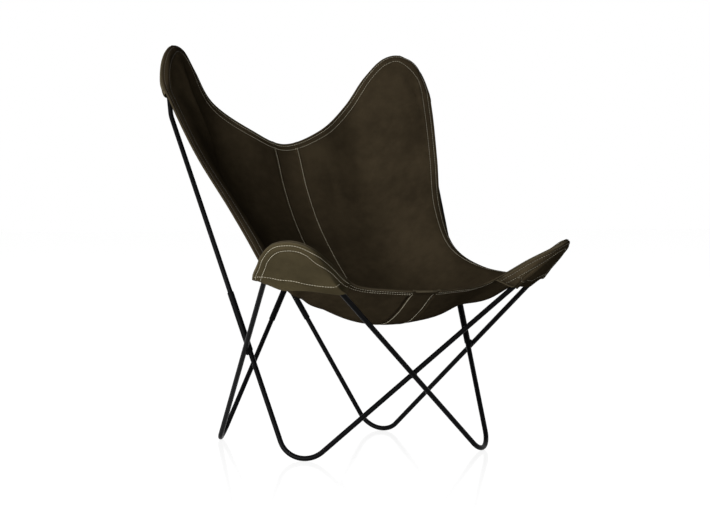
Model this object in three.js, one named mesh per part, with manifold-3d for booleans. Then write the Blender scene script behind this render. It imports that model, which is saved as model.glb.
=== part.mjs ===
// Butterfly sling chair: two bent rod loops that cross each other, with a leather sling
// whose four corner pockets hang on the two high back hairpins and the two low front horns.
// Millimetres, +Z up, floor at z = 0, front of the chair towards -Y, left and right as seen from there.
import * as THREE from 'three';
import { mergeVertices } from 'three/addons/utils/BufferGeometryUtils.js';
import Module from 'manifold-3d';

const wasm = await Module();
wasm.setup();

// Steel rod and sleeves
const rodDiameter = 11;
const sleeveDiameter = 14;
const sideSleeveLength = 140;
const backSleeveLength = 140;
const backSleeveOffset = 90;
const clearance = 0.3;
const weldRadius = 8;
const cutOverrun = 8;

// Feet, as the corners where the straight rods would meet
const frontFootX = 239.5;
const frontFootY = 228;
const backFootX = 207.5;
const backFootY = 228;
const footBend = 56;

// Front horns, also as sharp corners
const frontHornX = 369.5;
const frontHornY = 415.5;
const frontHornZ = 496.5;
const frontHornBend = 42;

// Back hairpins: each leg bends once on its way up to the two corners of the arch, at a
// depth below the arch's height
const topZ = 881;
const outerBendX = 330.5;
const outerBendY = 212;
const outerBendDepth = 149.5;
const outerTopX = 329;
const outerTopY = 252;
const innerBendX = 191;
const innerBendY = 334.5;
const innerBendDepth = 191;
const innerTopX = 264;
const innerTopY = 298;
const topBend = 50;
const legBend = 60;

// Leather sling
const leather = 2.4;
const rimMargin = 9;
const rimBlend = 3.7;
const bandWidth = 60;
const hemWidth = 18;
const hemThickness = 1.6;
const topCentreY = 305;
const topCentreDepth = 205;
const frontCentreY = -363;
const frontCentreZ = 356;
const pocketBelly = 3;
const foldClearance = 2.5;

// Numbers of faces
const rodSides = 12;
const footSteps = 5;
const bendSteps = 8;
const legSteps = 3;
const settleRounds = 12;
const edgeSteps = 10;
const panelAcross = 16;
const panelAlong = 32;
const pocketAlong = 18;
const pocketAcross = 7;
const bandAcross = 2;
const weldAround = 18;
const weldRings = 12;

const steel = { color: 0x0c0c0d, roughness: 0.42, metalness: 0.55 };
const weldSteel = { color: 0x0a0a0b, roughness: 0.55, metalness: 0.5 };
const panelLeather = { color: 0x352c20, roughness: 0.62, metalness: 0 };
const bandLeather = { color: 0x3a3124, roughness: 0.6, metalness: 0 };
const pocketLeather = { color: 0x423826, roughness: 0.6, metalness: 0 };
const hemLeather = { color: 0x2a2319, roughness: 0.7, metalness: 0 };

const chair = new THREE.Group();
const UP = new THREE.Vector3(0, 0, 1);
const RIGHT = new THREE.Vector3(1, 0, 0);
const point = (x, y, z) => new THREE.Vector3(x, y, z);
const between = (a, b, share) => a.clone().lerp(b, share);
const direction = (a, b) => b.clone().sub(a).normalize();
const clamp = (value, low, high) => Math.min(high, Math.max(low, value));
const smooth = (t) => THREE.MathUtils.smoothstep(t, 0, 1);

function addMesh(name, geometry, look) {
  const mesh = new THREE.Mesh(geometry, new THREE.MeshStandardMaterial(look));
  mesh.name = name;
  chair.add(mesh);
}

// A regular polygon with the same area as the round section of that radius
const evenArea = Math.sqrt((2 * Math.PI) / (rodSides * Math.sin((2 * Math.PI) / rodSides)));
const sectionRadius = (diameter) => (diameter / 2) * evenArea;
const flatRadius = (diameter) => sectionRadius(diameter) * Math.cos(Math.PI / rodSides);

function section(diameter) {
  const corners = [];
  for (let k = 0; k < rodSides; k += 1) {
    const angle = ((k + 0.5) / rodSides) * 2 * Math.PI;
    corners.push(new THREE.Vector2(Math.cos(angle), Math.sin(angle)).multiplyScalar(sectionRadius(diameter)));
  }
  return corners;
}

// A path given by stations, each with its place and its direction; the section keeps one of
// its flats turned towards a fixed reference direction all along
class RodPath extends THREE.Curve {
  constructor(stations, reference) {
    super();
    this.stations = stations;
    this.reference = reference;
  }

  getPoint(t) {
    const place = t * (this.stations.length - 1);
    const first = Math.min(Math.floor(place), this.stations.length - 2);
    return between(this.stations[first].p, this.stations[first + 1].p, place - first);
  }

  getSpacedPoints() {
    return this.stations.map((station) => station.p);
  }

  computeFrenetFrames() {
    const tangents = this.stations.map((station) => station.t);
    const normals = tangents.map((t) => this.reference.clone().addScaledVector(t, -this.reference.dot(t)).normalize());
    const binormals = tangents.map((t, i) => t.clone().cross(normals[i]));
    return { tangents, normals, binormals };
  }
}

// Stations round a bend of the given radius at corner v between a and b. Where flat is set,
// one chord lies level at the lowest place of the bend, which is where a foot stands.
function bendStations(a, v, b, radius, steps, flat = false) {
  const inward = direction(v, a);
  const outward = direction(v, b);
  const half = Math.acos(clamp(inward.dot(outward), -1, 1)) / 2;
  const centre = v.clone().addScaledVector(inward.clone().add(outward).normalize(), radius / Math.sin(half));
  const axis = outward.clone().cross(inward).normalize();
  const turn = Math.PI - 2 * half;
  const start = v.clone().addScaledVector(inward, radius / Math.tan(half)).sub(centre);
  const angles = [];
  if (flat) {
    const down = UP.clone().negate().addScaledVector(axis, axis.dot(UP)).normalize();
    const lowest = start.angleTo(down);
    const chord = turn / (2 * steps + 1);
    for (let k = 0; k <= steps; k += 1) angles.push(((lowest - chord / 2) * k) / steps);
    for (let k = 0; k <= steps; k += 1) angles.push(lowest + chord / 2 + ((turn - lowest - chord / 2) * k) / steps);
  } else {
    for (let k = 0; k <= steps; k += 1) angles.push((turn * k) / steps);
  }
  return angles.map((angle) => {
    const arm = start.clone().applyAxisAngle(axis, angle);
    return { p: centre.clone().add(arm), t: axis.clone().cross(arm).normalize() };
  });
}

function rodStations(points, bends) {
  const stations = [{ p: points[0], t: direction(points[0], points[1]) }];
  bends.forEach((bend, i) => {
    const [a, v, b] = points.slice(i, i + 3);
    stations.push(...bendStations(a, v, b, bend.radius, bend.steps, bend.flat));
  });
  const end = points.length - 1;
  stations.push({ p: points[end], t: direction(points[end - 1], points[end]) });
  return stations;
}

function sweptRod(stations, reference, diameter, boreDiameter = 0) {
  const shape = new THREE.Shape(section(diameter));
  if (boreDiameter > 0) shape.holes.push(new THREE.Path(section(boreDiameter)));
  const path = new RodPath(stations, reference);
  return new THREE.ExtrudeGeometry(shape, { steps: stations.length - 1, extrudePath: path });
}

// Lowest place of the faceted rod round a foot bend
function underside(stations) {
  const heights = stations.map(({ p, t }) => p.z - flatRadius(rodDiameter) * Math.sqrt(1 - t.z * t.z));
  return Math.min(...heights);
}

function footCorner(x, y, a, b) {
  const corner = point(x, y, 0);
  for (let round = 0; round < settleRounds; round += 1) {
    corner.z -= underside(bendStations(a, corner, b, footBend, footSteps, true));
  }
  return corner;
}

// Corner points of one loop. Side 1 has its hairpin on the left and its horn on the right,
// and runs inside the other loop, at the front and at the back, by half of each lap.
function loopCorners(side, lap) {
  const own = side > 0 ? lap.left : lap.right;
  const far = side > 0 ? lap.right : lap.left;
  const frontY = (side * lap.front) / 2;
  const backY = (-side * lap.back) / 2;
  const outerBend = point(-side * (outerBendX - own / 2), outerBendY + backY, topZ - outerBendDepth);
  const outerTop = point(-side * (outerTopX - own / 2), outerTopY + backY, topZ);
  const innerTop = point(-side * (innerTopX - own / 2), innerTopY + backY, topZ);
  const innerBend = point(-side * innerBendX, innerBendY + backY, topZ - innerBendDepth);
  const horn = point(side * (frontHornX + far / 2), -frontHornY + frontY, frontHornZ);
  const frontFoot = footCorner(-side * (frontFootX - own / 2), -frontFootY + frontY, outerBend, horn);
  const backFoot = footCorner(side * (backFootX + far / 2), backFootY + backY, horn, innerBend);
  return { outerBend, outerTop, innerTop, innerBend, horn, frontFoot, backFoot };
}

// Nearest points of two straight legs, each given by its two ends
function crossing([a, b], [c, d]) {
  const u = direction(a, b);
  const w = direction(c, d);
  const gap = c.clone().sub(a);
  const k = u.dot(w);
  const s = (gap.dot(u) - k * gap.dot(w)) / (1 - k * k);
  const p = a.clone().addScaledVector(u, s);
  const q = c.clone().addScaledVector(w, k * s - gap.dot(w));
  return { p, q, middle: between(p, q, 0.5), distance: p.distanceTo(q) };
}

const crossings = (one, two) => ({
  front: crossing([one.frontFoot, one.horn], [two.frontFoot, two.horn]),
  back: crossing([one.backFoot, one.innerBend], [two.backFoot, two.innerBend]),
  left: crossing([one.frontFoot, one.outerBend], [two.backFoot, two.horn]),
  right: crossing([two.frontFoot, two.outerBend], [one.backFoot, one.horn]),
});

// The loops are moved apart or together until the legs that cross just touch
const rodContact = 2 * sectionRadius(rodDiameter) + clearance;
const sleeveContact = 2 * sectionRadius(sleeveDiameter) + clearance;
const mixedContact = sectionRadius(rodDiameter) + sectionRadius(sleeveDiameter) + clearance;

function nestLoops() {
  const lap = { front: rodContact, back: sleeveContact, left: 0, right: 0 };
  let loops = [];
  let meet = {};
  for (let round = 0; round < settleRounds; round += 1) {
    loops = [loopCorners(1, lap), loopCorners(-1, lap)];
    meet = crossings(...loops);
    lap.front += rodContact - meet.front.distance;
    lap.back += sleeveContact - meet.back.distance;
    lap.left += mixedContact - meet.left.distance;
    lap.right += mixedContact - meet.right.distance;
  }
  return { loops, meet };
}

const { loops, meet } = nestLoops();

// Where a sleeve sits on its leg, as distances from the leg's foot corner
function sleeveSpan(foot, head, start, length) {
  const axis = direction(foot, head);
  const low = foot.clone().addScaledVector(axis, start);
  const high = low.clone().addScaledVector(axis, length);
  return { axis, low, high, joint: between(low, high, 0.5) };
}

function loopFrame(side) {
  const loop = side > 0 ? loops[0] : loops[1];
  const contact = side > 0 ? meet.left.p : meet.right.p;
  const backPoint = side > 0 ? meet.back.p : meet.back.q;
  const sideSleeve = sleeveSpan(loop.frontFoot, loop.outerBend, loop.frontFoot.distanceTo(contact), sideSleeveLength);
  const backStart = loop.backFoot.distanceTo(backPoint) - backSleeveOffset;
  const backSleeve = sleeveSpan(loop.backFoot, loop.innerBend, backStart, backSleeveLength);
  // Plane of the hairpin: across from the outer leg to the inner, up, and towards the sitter
  const across = direction(loop.outerTop, loop.innerTop);
  const out = direction(loop.outerBend, loop.outerTop).cross(across).normalize();
  if (out.y > 0) out.negate();
  const up = across.clone().cross(out).normalize();
  if (up.z < 0) up.negate();
  const centre = between(loop.outerTop, loop.innerTop, 0.5).addScaledVector(up, -topBend);
  return { side, loop, sideSleeve, backSleeve, hairpin: { centre, across, up, out } };
}

const frames = [loopFrame(1), loopFrame(-1)];

// Plane of a front horn: across from its front rod to its side rod, outward, and up to the sitter
function hornFrame(loop) {
  const frontRod = direction(loop.horn, loop.frontFoot);
  const sideRod = direction(loop.horn, loop.backFoot);
  const up = frontRod.clone().add(sideRod).normalize().negate();
  const across = sideRod.clone().sub(frontRod).normalize();
  const out = across.clone().cross(up).normalize();
  if (out.z < 0) out.negate();
  const half = frontRod.angleTo(sideRod) / 2;
  const centre = loop.horn.clone().addScaledVector(up, -frontHornBend / Math.sin(half));
  return { centre, across, up, out };
}

// Rods
const footTurn = { radius: footBend, steps: footSteps, flat: true };
const hornTurn = { radius: frontHornBend, steps: bendSteps };
const legTurn = { radius: legBend, steps: legSteps };
const topTurn = { radius: topBend, steps: bendSteps };
const rods = [];

for (const frame of frames) {
  const { loop, sideSleeve, backSleeve, hairpin } = frame;
  const baseStart = sideSleeve.joint.clone().addScaledVector(sideSleeve.axis, -clearance / 2);
  const baseEnd = backSleeve.joint.clone().addScaledVector(backSleeve.axis, -clearance / 2);
  const pinStart = sideSleeve.joint.clone().addScaledVector(sideSleeve.axis, clearance / 2);
  const pinEnd = backSleeve.joint.clone().addScaledVector(backSleeve.axis, clearance / 2);
  const basePoints = [baseStart, loop.frontFoot, loop.horn, loop.backFoot, baseEnd];
  const pinPoints = [pinStart, loop.outerBend, loop.outerTop, loop.innerTop, loop.innerBend, pinEnd];
  const base = rodStations(basePoints, [footTurn, hornTurn, footTurn]);
  const pin = rodStations(pinPoints, [legTurn, topTurn, topTurn, legTurn]);
  const hornSide = frame.side > 0 ? 'right' : 'left';
  const pinSide = frame.side > 0 ? 'left' : 'right';
  addMesh(`base_rod_${hornSide}`, sweptRod(base, UP.clone().negate(), rodDiameter), steel);
  addMesh(`upright_${pinSide}`, sweptRod(pin, hairpin.out, rodDiameter), steel);
  rods.push(base.map((station) => station.p), pin.map((station) => station.p));
  const bore = rodDiameter + 2 * clearance;
  for (const [place, sleeve] of [['side', sideSleeve], ['back', backSleeve]]) {
    const ends = [sleeve.low, sleeve.high].map((p) => ({ p, t: sleeve.axis }));
    const name = place === 'side' ? `sleeve_side_${pinSide}` : `sleeve_back_${hornSide}`;
    addMesh(name, sweptRod(ends, UP.clone().negate(), sleeveDiameter, bore), steel);
  }
}

// Welds: a small bead round each place where two rods touch
function solidOf(geometry) {
  const bare = geometry.clone();
  bare.deleteAttribute('normal');
  bare.deleteAttribute('uv');
  const merged = mergeVertices(bare);
  const mesh = new wasm.Mesh({
    numProp: 3,
    vertProperties: new Float32Array(merged.attributes.position.array),
    triVerts: new Uint32Array(merged.index.array),
  });
  return new wasm.Manifold(mesh);
}

function geometryOf(solid) {
  const mesh = solid.getMesh();
  const geometry = new THREE.BufferGeometry();
  geometry.setAttribute('position', new THREE.BufferAttribute(new Float32Array(mesh.vertProperties), 3));
  geometry.setIndex(new THREE.BufferAttribute(new Uint32Array(mesh.triVerts), 1));
  return geometry;
}

function cutter(place, axis, diameter) {
  const length = 2 * (weldRadius + cutOverrun);
  const radius = (sectionRadius(diameter) + clearance) / Math.cos(Math.PI / (2 * rodSides));
  const rod = new THREE.CylinderGeometry(radius, radius, length, 2 * rodSides);
  rod.applyQuaternion(new THREE.Quaternion().setFromUnitVectors(new THREE.Vector3(0, 1, 0), axis));
  rod.translate(place.x, place.y, place.z);
  return solidOf(rod);
}

function weld(name, spot, axes, diameters) {
  const bead = new THREE.SphereGeometry(weldRadius, weldAround, weldRings);
  bead.translate(spot.middle.x, spot.middle.y, spot.middle.z);
  const first = cutter(spot.p, axes[0], diameters[0]);
  const second = cutter(spot.q, axes[1], diameters[1]);
  addMesh(name, geometryOf(solidOf(bead).subtract(first).subtract(second)), weldSteel);
}

const legs = (loop) => ({
  outer: direction(loop.frontFoot, loop.outerBend),
  front: direction(loop.frontFoot, loop.horn),
  side: direction(loop.backFoot, loop.horn),
  back: direction(loop.backFoot, loop.innerBend),
});
const [legsOne, legsTwo] = loops.map(legs);
weld('weld_front', meet.front, [legsOne.front, legsTwo.front], [rodDiameter, rodDiameter]);
weld('weld_back', meet.back, [legsOne.back, legsTwo.back], [sleeveDiameter, sleeveDiameter]);
weld('weld_left', meet.left, [legsOne.outer, legsTwo.side], [sleeveDiameter, rodDiameter]);
weld('weld_right', meet.right, [legsTwo.outer, legsOne.side], [sleeveDiameter, rodDiameter]);

// Edge of the sling. The corners follow the rods in each horn's own plane, in shares of the
// rim's radius; the free stretches between are shares of the distance that they span.
const backRim = topBend + rodDiameter / 2 + rimMargin;
const frontRim = frontHornBend + rodDiameter / 2 + rimMargin;
const backRimShares = [
  [1.98, -0.97, 0.03], [1.28, 0.16, -0.05], [0.56, 0.86, 0.03], [-0.05, 0.97, 0],
  [-0.76, 0.44, -0.03], [-1.14, -0.35, -0.03], [-1.33, -1.22, 0.28],
];
const frontRimShares = [
  [1.67, -1.04, -0.11], [1.36, -0.25, -0.08], [1.09, 0.27, -0.02], [0.55, 0.81, 0.07],
  [-0.26, 0.99, 0.05], [-0.84, 0.7, 0.05], [-1.26, -0.47, 0.37], [-1.54, -1.46, 0.58],
];
const topSpanShares = [[0.31, 0.02, -0.056]];
const sideSpanShares = [
  [0.307, -0.101, -0.02], [0.496, -0.172, 0.04], [0.654, -0.205, 0.064],
  [0.789, -0.183, 0.04], [0.887, -0.141, -0.02],
];
const frontSpanShares = [[0.523, 0.051, -0.064], [0.761, 0.017, -0.04]];
const centreShares = [
  [0, 0], [0.05, -0.036], [0.132, -0.098], [0.249, -0.161], [0.376, -0.203], [0.483, -0.227], [0.573, -0.243],
  [0.665, -0.249], [0.748, -0.233], [0.823, -0.203], [0.887, -0.161], [0.932, -0.105], [0.982, -0.018], [1, 0],
];

const topCentre = point(0, topCentreY, topZ - topCentreDepth);
const frontCentre = point(0, frontCentreY, frontCentreZ);
const placeIn = (plane, a, b, n) => plane.centre.clone()
  .addScaledVector(plane.across, a).addScaledVector(plane.up, b).addScaledVector(plane.out, n);
const placeOf = (plane, p) => {
  const arm = p.clone().sub(plane.centre);
  return { a: arm.dot(plane.across), b: arm.dot(plane.up), n: arm.dot(plane.out) };
};

// The left half has its back corner on loop one and its front corner on loop two
const halves = [-1, 1].map((side) => ({
  side,
  back: frames[side < 0 ? 0 : 1].hairpin,
  front: hornFrame(loops[side < 0 ? 1 : 0]),
  backLoop: loops[side < 0 ? 0 : 1],
}));

function spanPoint(from, to, [along, backward, upward]) {
  const span = Math.abs(to.x - from.x);
  return between(from, to, along).add(point(0, backward * span, upward * span));
}

function sagPoint(from, to, [along, sag, waist], side = 1) {
  const chord = point(0, to.y - from.y, to.z - from.z);
  const across = point(0, chord.z, -chord.y);
  return between(from, to, along).addScaledVector(across, sag)
    .addScaledVector(RIGHT, -side * waist * chord.length());
}

const edgeHalf = ({ side, back, front }) => [
  ...topSpanShares.map((share) => spanPoint(topCentre, back.centre, share)),
  ...backRimShares.map(([a, b, n]) => placeIn(back, a * backRim, b * backRim, n * backRim)),
  ...sideSpanShares.map((share) => sagPoint(back.centre, front.centre, share, side)),
  ...frontRimShares.map(([a, b, n]) => placeIn(front, a * frontRim, b * frontRim, n * frontRim)),
  ...frontSpanShares.map((share) => spanPoint(front.centre, frontCentre, share)),
];
const leftEdge = edgeHalf(halves[0]);
const rightEdge = edgeHalf(halves[1]);
const edgePoints = [topCentre, ...leftEdge, frontCentre, ...rightEdge.reverse()];
const edgeCurve = new THREE.CatmullRomCurve3(edgePoints, true, 'centripetal');
const edgeCount = edgePoints.length;

// Stations on the edge are counted in its points, from the top centre down either side. Each
// tip lies this many points into its rim's table, and a pocket starts and ends this many
// points from the back tip or from the front rim's first point.
const backTipPoint = 3;
const frontTipPoint = 3.6;
const backPocketPoints = [-2.75, 2.6];
const frontPocketPoints = [0, 7.45];
const edgeAt = (side, station) => edgeCurve.getPoint((side < 0 ? station : edgeCount - station) / edgeCount);
const frontStation = edgeCount / 2;
const backTipStation = 1 + topSpanShares.length + backTipPoint;
const frontCorner = 1 + topSpanShares.length + backRimShares.length + sideSpanShares.length;
const frontTipStation = frontCorner + frontTipPoint;
const pocketStations = {
  back: backPocketPoints.map((count) => backTipStation + count),
  front: frontPocketPoints.map((count) => frontCorner + count),
};

// A stretch of the edge, or of any curve, walked by shares of its length
function walk(at, start, end) {
  const count = Math.max(2, Math.ceil(Math.abs(end - start) * edgeSteps));
  const places = [];
  for (let k = 0; k <= count; k += 1) places.push(at(start + ((end - start) * k) / count));
  const lengths = [0];
  for (let k = 1; k <= count; k += 1) lengths.push(lengths[k - 1] + places[k].distanceTo(places[k - 1]));
  const total = lengths[count];
  return (share) => {
    const goal = clamp(share, 0, 1) * total;
    let k = 1;
    while (k < count && lengths[k] < goal) k += 1;
    return between(places[k - 1], places[k], (goal - lengths[k - 1]) / (lengths[k] - lengths[k - 1]));
  };
}

const centrePoints = centreShares.map(([along, sag]) => sagPoint(topCentre, frontCentre, [along, sag, 0]));
const centreCurve = new THREE.CatmullRomCurve3(centrePoints, false, 'centripetal');
const centreLine = walk((t) => centreCurve.getPoint(t / edgeSteps), 0, edgeSteps);
const centreLength = centreCurve.getLength();

function seamStation(side, low, high, reach) {
  let [a, b] = [low, high];
  for (let round = 0; round < 2 * settleRounds; round += 1) {
    const middle = (a + b) / 2;
    if (Math.abs(edgeAt(side, middle).x) < reach) a = middle;
    else b = middle;
  }
  return (a + b) / 2;
}

// One half of the sling: its four boundary walks and the smooth surface between them, with
// u from the centre band to the side edge and v from the top to the front
function slingHalf(half) {
  const { side } = half;
  const reach = bandWidth / 2 + clearance / 2;
  const topStart = seamStation(side, 0, backTipStation, reach);
  const frontStart = seamStation(side, frontStation, frontTipStation, reach);
  const at = (station) => edgeAt(side, station);
  const top = walk(at, topStart, backTipStation);
  const front = walk(at, frontStart, frontTipStation);
  const outer = walk(at, backTipStation, frontTipStation);
  const rim = [];
  for (let k = 0; k <= frontStation * edgeSteps; k += 1) rim.push(at(k / edgeSteps));
  const corner = { tb: top(0), te: top(1), fb: front(0), fe: front(1) };
  const topLift = corner.tb.clone().sub(topCentre).setX(0);
  const frontLift = corner.fb.clone().sub(frontCentre).setX(0);
  const seam = (v) => {
    const p = centreLine(v).addScaledVector(topLift, 1 - v).addScaledVector(frontLift, v);
    p.x = side * reach;
    return p;
  };
  const mixAxis = (axis, u, v, h) => {
    const rows = (1 - v) * top(u)[axis] + v * front(u)[axis];
    const columns = (1 - h) * seam(v)[axis] + h * outer(v)[axis];
    const corners = (1 - v) * ((1 - h) * corner.tb[axis] + h * corner.te[axis])
      + v * ((1 - h) * corner.fb[axis] + h * corner.fe[axis]);
    return rows + columns - corners;
  };
  const bare = (u, v) => point(mixAxis('x', u, v, u), mixAxis('y', u, v, u * u), mixAxis('z', u, v, u * u));
  return { ...half, reach, rim, topLift, frontLift, bare };
}

// How far the hairpin's inner leg leans back behind the hairpin's plane at a place, with the
// lean carried on a little past the leg's bend and past the leg itself
const leanBelowShare = 1.2;
const leanBesideShare = 1.3;

function leanBack(half, a, b) {
  const inner = placeOf(half.back, half.backLoop.innerBend);
  const outer = placeOf(half.back, half.backLoop.outerBend);
  const down = clamp((topBend - b) / (topBend - inner.b), 0, leanBelowShare);
  const left = -topBend + (outer.a + topBend) * down;
  const right = topBend + (inner.a - topBend) * down;
  return inner.n * down * clamp((a - left) / (right - left), 0, leanBesideShare);
}

const softMax = (value, floor, blend) => floor + blend * Math.log1p(Math.exp((value - floor) / blend));
const rodClear = sectionRadius(rodDiameter) + leather / 2 + foldClearance;

// Leather keeps its distance to every rod
function offRods(p) {
  for (const rod of rods) {
    let nearest = rod[0];
    const segment = new THREE.Line3();
    const candidate = new THREE.Vector3();
    for (let k = 1; k < rod.length; k += 1) {
      segment.set(rod[k - 1], rod[k]).closestPointToPoint(p, true, candidate);
      if (candidate.distanceTo(p) < nearest.distanceTo(p)) nearest = candidate.clone();
    }
    const arm = p.clone().sub(nearest);
    const length = arm.length();
    if (length < 2 * rodClear) p = nearest.addScaledVector(arm, softMax(length, rodClear, foldClearance / 2) / length);
  }
  return p;
}

const rimDistance = (half, p) => Math.min(...half.rim.map((place) => place.distanceTo(p)));

// The panel passes over the rods on the sitter's side and comes back to the rim at its edge
function overRods(half, p) {
  const grip = smooth(rimDistance(half, p) / (rimMargin + rimBlend));
  if (grip === 0) return p;
  for (const plane of [half.back, half.front]) {
    const { a, b, n } = placeOf(plane, p);
    const floor = rodClear + (plane === half.back ? leanBack(half, a, b) : 0);
    p.addScaledVector(plane.out, (softMax(n, floor, foldClearance) - n) * grip);
  }
  return offRods(p);
}

const slings = halves.map(slingHalf);
const panelAt = (half, u, v) => overRods(half, half.bare(u, v));
const bandAt = (x, v) => {
  const half = slings[x < 0 ? 0 : 1];
  const crown = (x / half.reach) ** 2;
  const p = centreLine(v).addScaledVector(half.topLift, crown * (1 - v)).addScaledVector(half.frontLift, crown * v);
  p.x = x;
  return p;
};

// Rows of places become a closed sheet of even thickness
function rowNormals(rows) {
  const sums = rows.map((row) => row.map(() => point(0, 0, 0)));
  for (let i = 1; i < rows.length; i += 1) {
    for (let j = 1; j < rows[i].length; j += 1) {
      const first = rows[i][j].clone().sub(rows[i - 1][j - 1]);
      const area = first.cross(rows[i][j - 1].clone().sub(rows[i - 1][j]));
      for (const [k, m] of [[i, j], [i - 1, j], [i, j - 1], [i - 1, j - 1]]) sums[k][m].add(area);
    }
  }
  for (const [row, sum] of rows.map((r, i) => [r, sums[i]])) {
    if (row[0].distanceTo(row[row.length - 1]) > clearance) continue;
    const total = sum.reduce((a, b) => a.clone().add(b), point(0, 0, 0));
    sum.forEach((entry) => entry.copy(total));
  }
  sums.flat().forEach((sum) => sum.normalize());
  return sums;
}

function sheet(rows, thickness, offset = 0) {
  const normals = rowNormals(rows);
  const wide = rows[0].length;
  const positions = [];
  const triangles = [];
  for (const shift of [offset + thickness / 2, offset - thickness / 2]) {
    rows.forEach((row, i) => row.forEach((p, j) => {
      positions.push(...p.clone().addScaledVector(normals[i][j], shift).toArray());
    }));
  }
  const lower = rows.length * wide;
  const quad = (a, b, c, d) => triangles.push([a, b, c], [a, c, d]);
  for (let i = 1; i < rows.length; i += 1) {
    for (let j = 1; j < wide; j += 1) {
      const [a, b, c, d] = [(i - 1) * wide + j - 1, i * wide + j - 1, i * wide + j, (i - 1) * wide + j];
      quad(a, b, c, d);
      quad(lower + d, lower + c, lower + b, lower + a);
    }
  }
  const ring = [];
  for (let j = 0; j < wide - 1; j += 1) ring.push(j);
  for (let i = 0; i < rows.length - 1; i += 1) ring.push(i * wide + wide - 1);
  for (let j = wide - 1; j > 0; j -= 1) ring.push((rows.length - 1) * wide + j);
  for (let i = rows.length - 1; i > 0; i -= 1) ring.push(i * wide);
  ring.forEach((a, k) => {
    const b = ring[(k + 1) % ring.length];
    quad(a, b, lower + b, lower + a);
  });
  return closedGeometry(positions, triangles);
}

// Places that coincide are joined, and faces that lose their area are left out
const joinDecimals = 3;

function closedGeometry(positions, triangles) {
  const keys = new Map();
  const kept = [];
  const index = [];
  for (let k = 0; k < positions.length; k += 3) {
    const place = positions.slice(k, k + 3);
    const key = place.map((value) => value.toFixed(joinDecimals)).join();
    if (!keys.has(key)) {
      keys.set(key, kept.length / 3);
      kept.push(...place);
    }
    index.push(keys.get(key));
  }
  const faces = triangles.map((face) => face.map((k) => index[k]))
    .filter(([a, b, c]) => a !== b && b !== c && c !== a);
  let volume = 0;
  const corner = (k) => point(...kept.slice(3 * k, 3 * k + 3));
  for (const [a, b, c] of faces) volume += corner(a).dot(corner(b).cross(corner(c)));
  const geometry = new THREE.BufferGeometry();
  geometry.setAttribute('position', new THREE.Float32BufferAttribute(kept, 3));
  geometry.setIndex((volume < 0 ? faces.map((face) => face.slice().reverse()) : faces).flat());
  return geometry;
}

const steps = (count, ease = (t) => t) => Array.from({ length: count + 1 }, (_, k) => ease(k / count));
const outPower = 1.9;
const bothPower = 1.8;
const easeOut = (t) => 1 - (1 - t) ** outPower;
const easeBoth = (t) => (t < 0.5 ? (2 * t) ** bothPower / 2 : 1 - (2 - 2 * t) ** bothPower / 2);
const sideName = (side) => (side < 0 ? 'left' : 'right');

for (const half of slings) {
  const rows = steps(panelAlong, easeBoth).map((v) => steps(panelAcross, easeOut).map((u) => panelAt(half, u, v)));
  addMesh(`sling_panel_${sideName(half.side)}`, sheet(rows, leather), panelLeather);
}

const bandReach = bandWidth / 2 - clearance / 2;
const bandColumns = steps(2 * bandAcross).map((t) => (2 * t - 1) * bandReach);
const bandRows = steps(panelAlong, easeBoth).map((v) => bandColumns.map((x) => bandAt(x, v)));
addMesh('sling_centre_band', sheet(bandRows, leather), bandLeather);

// A pocket closes a corner of the sling from behind: from the rim, under the rod's bend, to its mouth
const mouthShares = {
  back: [[1.1, -0.85], [0, -0.95], [-0.9, -0.92]],
  front: [[1.14, -1.19], [0.6, -1.4], [0.1, -1.3], [-0.45, -1.32], [-1.02, -1.42], [-1.5, -1.52], [-1.72, -1.5]],
};

function pocket(half, place) {
  const plane = half[place];
  const radius = place === 'back' ? backRim : frontRim;
  const [start, end] = pocketStations[place];
  const under = (p) => placeOf(plane, p.clone().addScaledVector(plane.out, -leather - clearance));
  const rim = walk((station) => edgeAt(half.side, station), start, end);
  const ends = [under(rim(0)), under(rim(1))];
  const inner = mouthShares[place].map(([a, b]) => point(a * radius, b * radius, 0));
  const mouthPoints = [point(ends[0].a, ends[0].b, 0), ...inner, point(ends[1].a, ends[1].b, 0)];
  const mouthCurve = new THREE.CatmullRomCurve3(mouthPoints, false, 'centripetal');
  const mouth = walk((t) => mouthCurve.getPoint(t / edgeSteps), 0, edgeSteps);
  return steps(pocketAlong, easeBoth).map((along) => {
    const edge = under(rim(along));
    const opening = mouth(along);
    const ends = smooth(Math.min(along, 1 - along) * pocketAlong);
    const depth = (a, b, belly) => {
      const floor = -rodClear - belly + (place === 'back' ? leanBack(half, a, b) : 0);
      return edge.n + (floor - edge.n) * ends;
    };
    // From the rim the leather drops past the rod, turns under it and runs to the mouth
    const reach = Math.hypot(opening.x - edge.a, opening.y - edge.b);
    const inset = reach > 0 ? (rodDiameter / 2) * clamp(1 - edge.n / rodClear, 0, 1) / Math.max(reach, rodDiameter) : 0;
    const turn = { a: edge.a + (opening.x - edge.a) * inset, b: edge.b + (opening.y - edge.b) * inset };
    const belly = pocketBelly * Math.sin(Math.PI * along);
    const start = placeIn(plane, edge.a, edge.b, edge.n);
    const knee = placeIn(plane, turn.a, turn.b, depth(turn.a, turn.b, 0));
    const end = placeIn(plane, opening.x, opening.y, depth(opening.x, opening.y, belly));
    const bend = new THREE.CubicBezierCurve3(start, knee, knee, end);
    return steps(pocketAcross).map((t) => offRods(bend.getPoint(t)));
  });
}

for (const half of slings) {
  for (const place of ['back', 'front']) {
    addMesh(`pocket_${place}_${sideName(half.side)}`, sheet(pocket(half, place), leather), pocketLeather);
  }
}

// Hems: the turned strip under each free stretch of the edge
const sitter = point(0, (topCentreY + frontCentreY) / 2, topZ);

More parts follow.
